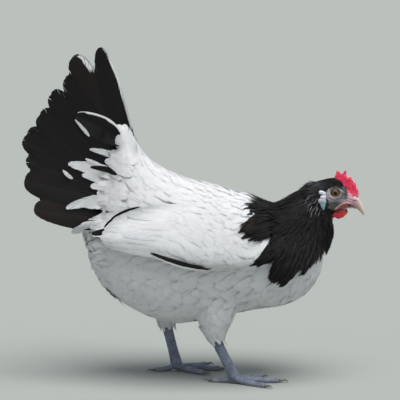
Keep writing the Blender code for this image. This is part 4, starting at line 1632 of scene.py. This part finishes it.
# ------------------------------------------------------------------------------------------ head parts
@dataclass
class Fleshy:
    """A comb, wattle, earlobe, beak, claw or leg: a solid's shape, evened, roughened and coloured."""

    nodes: Sequence[str]        # the solids that it takes the place of
    name: str
    slot: Slot
    voxel: float                # the width of its quads
    relief: Callable[[Vector], float]
    colour: Callable[[Vector], Numbers]
    swell: float = 0.2          # how far the solids grow first, so that they meet
    fill: Sequence[tuple[Numbers, Numbers, float]] = ()     # lumps that are melted in
    solid: bool = True          # whether the solids' own shapes are part of it

    def build(self, material: Material) -> None:
        """Builds the piece in its finish."""
        forms = [node_form(node, self.swell) for node in self.nodes if self.solid]
        form = evened(joined((*forms, *(lump(*shape) for shape in self.fill))), self.voxel)
        for vert in form.verts:
            vert.co += vert.normal * self.relief(vert.co)
        mesh = mesh_of(self.name, form)
        paint(mesh, [self.colour(vert.co) for vert in mesh.vertices])
        finished(mesh, material, self.slot, *self.nodes)


def pebbled(depth: float, width: float) -> Callable[[Vector], float]:
    """The relief of small rounded bumps of this depth, this far apart."""
    def relief(place: Vector) -> float:
        """The height at a place."""
        bump = 1.0 - 2.2 * noise.voronoi(place / width)[0][0]
        return depth * bump + depth * noise.noise(place / (3 * width))
    return relief


COMB_FILL = (
    # the comb's root in the head, and the smooth front edge
    *(((x, 0, z), (3.2, 2.3, 3.2), 0.0) for x, z in (
        (164.5, 239.5), (167.5, 238), (170, 236), (172.5, 233.5), (175, 230.5), (177, 227.5), (179.5, 224.5),
        (182.5, 222),
    )),
    ((181.5, 0, 237.5), (3.0, 1.5, 3.6), 0.0), ((184.8, 0, 233.0), (2.9, 1.5, 4.0), 0.0),
    ((187.2, 0, 227.5), (2.5, 1.5, 4.0), 0.0),
)
# the places of the painted highlight at the tips of the teeth
COMB_TIPS = ((165, 254.5), (174.8, 254.8), (180.6, 246.5))


def comb_colour(place: Vector) -> Numbers:
    """Red, darker in noise patches of painted shade for its hollows, and with a painted highlight at the tips
    of its teeth.
    """
    nearest = min(math.hypot(place.x - x, place.z - z) for x, z in COMB_TIPS)
    # painted shade: darker patches that stand for the comb's hollows
    shaded_dents = ramp(noise.noise(place * 0.35 + Vector((3, 0, 7))), -0.1, 0.4)
    return layered(
        (0.95, 0.05, 0.14), ((0.62, 0.018, 0.055), 0.8 * shaded_dents),
        ((0.62, 0.26, 0.30), 0.6 * ramp(place.z, 228, 221)),
        # painted highlight at the tips of the teeth
        ((0.86, 0.44, 0.40), 0.8 * ramp(nearest, 6.0, 1.0)),
    )


def comb_relief(place: Vector) -> float:
    """Pebbles, and teeth that are slimmer than the solid's."""
    return pebbled(0.35, 2.0)(place) - 0.8 * ramp(place.z, 243, 248)


def wattle_colour(place: Vector) -> Numbers:
    """Crimson, darker at the top, and more orange in front as a painted highlight."""
    front, top = ramp(place.x, 168, 176), ramp(place.z, 199.5, 205)
    # more orange in front: painted highlight
    return layered((0.60, 0.012, 0.035), ((0.70, 0.06, 0.015), front), ((0.20, 0.008, 0.014), top))


def mandible_relief(place: Vector) -> float:
    """The lower beak is thinner than its solid, from below."""
    return -2.4 * ramp(place.z, 207.5, 204.5)


def lobe_colour(place: Vector) -> Numbers:
    """White with a lilac top and a bluish tip."""
    mottled = mottle(place, 0.5)
    grey = 0.8 * max(ramp(place.x, 146.5, 143.0), ramp(place.z, 216.5, 219.0))
    low = layered((0.22, 0.36, 0.47), ((0.34, 0.44, 0.50), mottled), ((0.48, 0.49, 0.52), grey))
    return layered((0.80, 0.80, 0.86), ((0.52, 0.52, 0.62), mottled), (low, ramp(place.z, 222, 218)))


def beak_relief(place: Vector) -> float:
    """The nostril: a soft bump over a slit."""
    bump = 0.35 * bell((place.x - 186.0) / 2.6, (place.z - 218.0) / 1.5)
    slit = -0.9 * bell((place.x - 186.2) / 2.6, (place.z - 215.9) / 0.7)
    return (bump + slit) * ramp(abs(place.y), 1.0, 3.0)


def beak_colour(place: Vector) -> Numbers:
    """Pinkish horn with a painted highlight along the ridge, a lilac base and a nostril darkened with painted
    shade.
    """
    # the nostril's slit is painted dark: painted shade in its hollow
    slit = bell((place.x - 186.2) / 2.4, (place.z - 215.9) / 0.8) * ramp(abs(place.y), 1.0, 3.0)
    ridge = stepped(place.x, (184, 221), (190.7, 218.5), (194.4, 211.5), (197.5, 204))
    return layered(
        (0.56, 0.36, 0.36), ((0.70, 0.56, 0.44), ramp(place.x, 187, 197)),
        ((0.58, 0.34, 0.40), 0.9 * ramp(place.x, 190, 184)), ((0.10, 0.04, 0.06), slit),
        # painted highlight along the ridge of the upper beak
        ((0.80, 0.68, 0.58), 0.6 * ramp(place.z, ridge - 4.0, ridge) * ramp(place.x, 185.5, 190)),
    )


def claw_colour(place: Vector) -> Numbers:
    """Slate horn, paler at the floor."""
    return mixed((0.16, 0.15, 0.15), (0.10, 0.105, 0.12), ramp(place.z, 1, 8))


def ear_spots(side: Side, view: SideView) -> list[Fleshy]:
    """The upper spot of bare white skin at one ear, and the lower one with its point."""
    def spot(x: float, z: float, radii: Numbers, lean: float = 0.0) -> tuple[Numbers, Numbers, float]:
        """A lump that lies on the skin."""
        return side.out(x, view.reach(side, x, z, 18.0) - 0.9, z), radii, lean

    upper = (spot(145.2, 227.4, (3.6, 1.7, 2.9), 12.0), spot(148.0, 226.2, (3.0, 1.6, 2.7), 30.0))
    lower = (
        spot(144.6, 217.6, (3.6, 1.6, 3.5), 10.0), spot(148.2, 216.4, (3.0, 1.6, 3.6)),
        spot(146.5, 217.0, (3.6, 1.7, 3.8)), spot(147.0, 213.0, (3.2, 1.7, 4.6)),
        spot(147.6, 209.4, (1.7, 1.5, 3.0)), spot(149.2, 221.4, (1.6, 1.5, 3.0)),
        spot(146.2, 221.9, (2.8, 1.5, 2.7)),
    )
    lobe = f"earlobe_{side.word}"
    shared = (Slot.LOBE, 0.45, pebbled(0.15, 2.6), lobe_colour)
    return [
        Fleshy((), f"ear_spot_{side.word}", *shared, fill=upper, solid=False),
        Fleshy((lobe,), lobe, *shared, fill=lower, solid=False),
    ]


def head_parts(view: SideView) -> list[Fleshy]:
    """Every fleshy or horny part of the head, and the claws. The view shows the head's sides."""
    parts = [
        Fleshy(("comb",), "comb", Slot.COMB, 0.45, comb_relief, comb_colour, fill=COMB_FILL),
        Fleshy(("beak_upper",), "beak_upper", Slot.BEAK, 0.4, beak_relief, beak_colour),
        Fleshy(("beak_lower",), "beak_lower", Slot.BEAK, 0.4, mandible_relief, beak_colour),
    ]
    for side in Side:
        wattle = f"wattle_{side.word}"
        root = ((side.out(160.8, 8.0, 200.4), (3.6, 2.2, 4.2), 0.0),)
        parts.append(Fleshy((wattle,), wattle, Slot.COMB, 0.45, pebbled(0.25, 2.2), wattle_colour, fill=root))
        parts += ear_spots(side, view)
        for toe in ("middle", "inner", "outer", "hind"):
            claw = f"claw_{side.word}_{toe}"
            parts.append(Fleshy((claw,), claw, Slot.CLAW, 0.4, lambda place: 0.0, claw_colour, 0.15))
    return parts


@dataclass
class Eye:
    """An eyeball and the lids round it."""

    side: Side
    face: Face
    view: SideView

    def ball(self) -> None:
        """Builds the eyeball, which takes the place of the solid one."""
        centre = self.side.out(*EYE_PLACE)
        form = bmesh.new()
        bmesh.ops.create_uvsphere(form, u_segments=48, v_segments=32, radius=EYE_RADIUS)
        bmesh.ops.transform(form, matrix=Matrix.Diagonal((1.0, EYE_DEPTH, 1.0, 1.0)), verts=form.verts)
        bmesh.ops.translate(form, vec=centre, verts=form.verts)
        word = self.side.word
        material = EyeFinish(f"eye_{word}", TO_FRAME @ centre).material()
        finished(mesh_of(f"eyeball_{word}", form), material, Slot.EYE, f"eye_{word}")

    def lids(self, material: Material) -> None:
        """Builds the lids in their finish: rings of skin from the ball's edge out to the face."""
        form = bmesh.new()
        around, rings = 72, 14
        bmesh.ops.create_grid(form, x_segments=around, y_segments=rings, size=0.5)
        for vert in form.verts:
            turn = (vert.co.x + 0.5) * 2 * math.pi
            share = vert.co.y + 0.5
            ring = 0.97 + 1.15 * share
            x = EYE_PLACE.x + OPENING[0] * ring * math.cos(turn)
            z = EYE_PLACE.z + OPENING[1] * ring * math.sin(turn) * (1.0 if math.sin(turn) > 0 else 1.05)
            left = EYE_RADIUS**2 - (x - EYE_PLACE.x) ** 2 - (z - EYE_PLACE.z) ** 2
            inner = EYE_PLACE.y + EYE_DEPTH * math.sqrt(max(left, 0.0))
            outer = self.view.reach(self.side, x, z, inner)
            edge = 0.75 * math.sin(math.pi * min(1.0, share / 0.32)) if share < 0.32 else 0.0
            crease = 0.22 * math.sin(share * 5.5 * math.pi + 0.6 * math.sin(3 * turn)) * ramp(share, 0.2, 0.4)
            rest = inner + (outer - inner) * ramp(share, 0.05, 0.6)
            height = rest + edge + crease * ramp(share, 1.0, 0.7) - 0.9 * ramp(share, 0.75, 1.0)
            vert.co = self.side.out(x, height, z)
        bmesh.ops.remove_doubles(form, verts=form.verts, dist=0.001)
        bmesh.ops.recalc_face_normals(form, faces=form.faces)
        bmesh.ops.solidify(form, geom=form.faces, thickness=0.3)
        mesh = mesh_of(f"lids_{self.side.word}", form)
        paint(mesh, [self.lid_colour(vert.co) for vert in mesh.vertices])
        finished(mesh, material, Slot.LOBE)

    def lid_colour(self, place: Vector) -> Numbers:
        """Grey skin with a dark rim at the ball."""
        ring = self.face.eye_ring(place.x, place.z)
        return mixed((0.02, 0.015, 0.016), self.face.colour(place), ramp(ring, 1.04, 1.3))


# ------------------------------------------------------------------------------------------ legs
TOES = ((3, 52), (38, 40), (-36, 43), (166, 25))        # each one's turn outwards in degrees, and its length
SHANK_SCUTE, TOE_SCUTE = 4.2, 3.2                       # how long one scute is


@dataclass
class Leg:
    """One shank and foot, with overlapping scutes in front and along the toes."""

    side: Side

    def lines(self) -> list[tuple[Vector, Vector, float]]:
        """The shank and the toes: where each starts and ends, and how long one scute is."""
        hock, ankle = LEGS[self.side]
        lines = [(ankle, hock, SHANK_SCUTE)]
        for turn, length in TOES:
            turn = math.radians(-self.side.value * turn)
            ahead = Vector((math.cos(turn), math.sin(turn), 0.0))
            lines.append((ankle + ahead * 7.0, ankle + ahead * length - Vector((0, 0, 4.5)), TOE_SCUTE))
        return lines

    def nearest(self, place: Vector) -> tuple[float, Vector, float]:
        """Finds the bone that a place lies over.

        Args:
            place: a place of the surface.

        Returns:
            How far along the bone it is, which way it lies from it, and how long one scute is.
        """
        found = []
        for start, end, pitch in self.lines():
            heading = (end - start).normalized()
            along = min(max((place - start).dot(heading), 0.0), (end - start).length)
            found.append((along, place - (start + heading * along), pitch))
        return min(found, key=lambda bone: bone[1].length)

    def relief(self, place: Vector) -> float:
        """How far the scales stand out at a place."""
        along, away, pitch = self.nearest(place)
        facing = away.normalized()
        front = ramp(max(facing.x, facing.z) if pitch == TOE_SCUTE else facing.x, -0.1, 0.45)
        step = (along / pitch) % 1.0
        scute = 0.45 * step - 0.55 * ramp(step, 0.86, 1.0)
        bumps = 0.30 * (1.0 - 2.0 * noise.voronoi(place / 2.6)[0][0])
        return 0.3 * bumps if place.z < 2.5 else front * scute + (1.0 - front) * bumps

    def colour(self, place: Vector) -> Numbers:
        """Slate blue, darker between the scales and paler below."""
        along, _, pitch = self.nearest(place)
        groove = ramp(abs((along / pitch) % 1.0 - 0.95), 0.12, 0.02)
        patchy = mottle(place, 0.12) + 0.5 * noise.noise(place * 0.6)
        return layered(
            (0.09, 0.105, 0.155), ((0.23, 0.26, 0.35), min(1.0, max(0.0, patchy))),
            ((0.34, 0.34, 0.33), 0.5 * ramp(place.z, 5, 1)), ((0.07, 0.08, 0.10), 0.45 * groove),
        )

    def build(self, material: Material) -> None:
        """Builds the leg in its finish."""
        nodes = (f"shank_{self.side.word}", f"foot_{self.side.word}")
        Fleshy(nodes, f"leg_{self.side.word}", Slot.LEG, 0.75, self.relief, self.colour).build(material)


# ------------------------------------------------------------------------------------------ studio
@dataclass(frozen=True)
class Studio:
    """A plain pale floor and soft light, and the camera at the hen's right side, a little above it."""

    distance: float = 3.0       # from the camera to the hen's middle, in metres
    elevation: float = 8.0      # of the camera, in degrees
    middle: Pair = (CAD_BOX[1].x - 0.198, 0.2163)           # the (x, z) that it looks at
    sun_tilt: Pair = (8.0, 14.0)    # how far off straight above it is, forwards and to the right, in degrees
    sun_width: float = 45.0     # in degrees
    sun_strength: float = 3.5
    sun_colour: Numbers = (1.0, 0.985, 0.96)
    sky_strength: float = 0.45
    sky_colour: Numbers = (0.86, 0.93, 1.0)
    floor_colour: Numbers = (0.325, 0.345, 0.325)
    lens: Pair = (225.0, 36.0)  # the focal length and the width of the sensor, in millimetres

    def build(self) -> None:
        """Builds the studio."""
        self.add_camera()
        self.add_sun()
        self.add_floor()
        world = bpy.data.worlds.new("studio")
        world.use_nodes = True
        sky = world.node_tree.nodes["Background"].inputs
        sky["Color"].default_value = (*self.sky_colour, 1.0)
        sky["Strength"].default_value = self.sky_strength
        bpy.context.scene.world = world
        bpy.context.scene.view_settings.view_transform = "Standard"

    def placed(self, name: str, data: bpy.types.ID) -> bpy.types.Object:
        """An object of the studio."""
        made = bpy.data.objects.new(name, data)
        bpy.context.scene.collection.objects.link(made)
        return made

    def add_camera(self) -> None:
        """Places the camera."""
        camera = self.placed("camera", bpy.data.cameras.new("camera"))
        camera.data.lens, camera.data.sensor_width = self.lens
        rise = math.radians(self.elevation)
        target = Vector((self.middle[0], 0.0, self.middle[1]))
        camera.location = target + Vector((0, -math.cos(rise), math.sin(rise))) * self.distance
        camera.rotation_euler = Euler((math.pi / 2 - rise, 0.0, 0.0))
        bpy.context.scene.camera = camera

    def add_sun(self) -> None:
        """Adds an even light from a broad patch of sky."""
        light = bpy.data.lights.new("key", "SUN")
        light.angle = math.radians(self.sun_width)
        light.energy = self.sun_strength
        light.color = self.sun_colour
        forwards, aside = (math.tan(math.radians(tilt)) for tilt in self.sun_tilt)
        lamp = self.placed("key", light)
        lamp.location = Vector((forwards, -aside, 1.0))
        lamp.rotation_euler = (-lamp.location).to_track_quat("-Z", "Y").to_euler()

    def add_floor(self) -> None:
        """Lays the floor, with the faintest unevenness."""
        form = bmesh.new()
        bmesh.ops.create_grid(form, x_segments=1, y_segments=1, size=30.0)
        floor = self.placed("floor", mesh_of("floor", form))
        shader = Shader("floor", Roughness=0.9, Base_Color=(*self.floor_colour, 1.0))
        shader.bumped((shader.grain(30.0), 0.2))
        floor.data.materials.append(shader.material)


def main() -> None:
    """Builds the hen and its studio."""
    logging.basicConfig(level=logging.INFO, format="%(message)s")
    surface, face = body_surface(), Face()
    white = PlumageFinish("white_feathers", 0.62, 0.25).material()
    quill = PlumageFinish("white_quills", 0.5, 0.1, 120.0, 0.1, 0.08).material()
    black = PlumageFinish("black_feathers", 0.48, 0.0, groove_shade=0.3, gloss=0.2).material()
    finishes = {
        Slot.COMB: SkinFinish("comb_flesh", 0.42, 0.8, 0.12, 0.12, 0.3).material(),
        Slot.LOBE: SkinFinish("face_flesh", 0.5, 0.7, 0.08, 0.12, 0.25).material(),
        Slot.BEAK: HornFinish("beak_layers", 0.38).material(),
        Slot.CLAW: HornFinish("claw_layers", 0.4, 0.5).material(),
    }
    Skin(surface, face).build(SkinFinish("body_skin", 0.6, 0.8, 0.1, 0.12).material())
    fan = tail_feathers(black)
    tail_coverts(SideView(surface, fan), quill, black)
    build_coat(surface, face, white, black)
    view = SideView(surface)
    leg_finish = SkinFinish("leg_scales", 0.45, 0.9, 0.06, 0.15, 0.05).material()
    for side in Side:
        wing, eye = Wing(side, view), Eye(side, face, view)
        wing.build(quill)
        wing.dark_feathers(black)
        eye.ball()
        eye.lids(finishes[Slot.LOBE])
        Leg(side).build(leg_finish)
        cuff_feathers(side, white)
    for part in head_parts(view):
        part.build(finishes[part.slot])
    Studio().build()


if __name__ == "__main__":
    main()
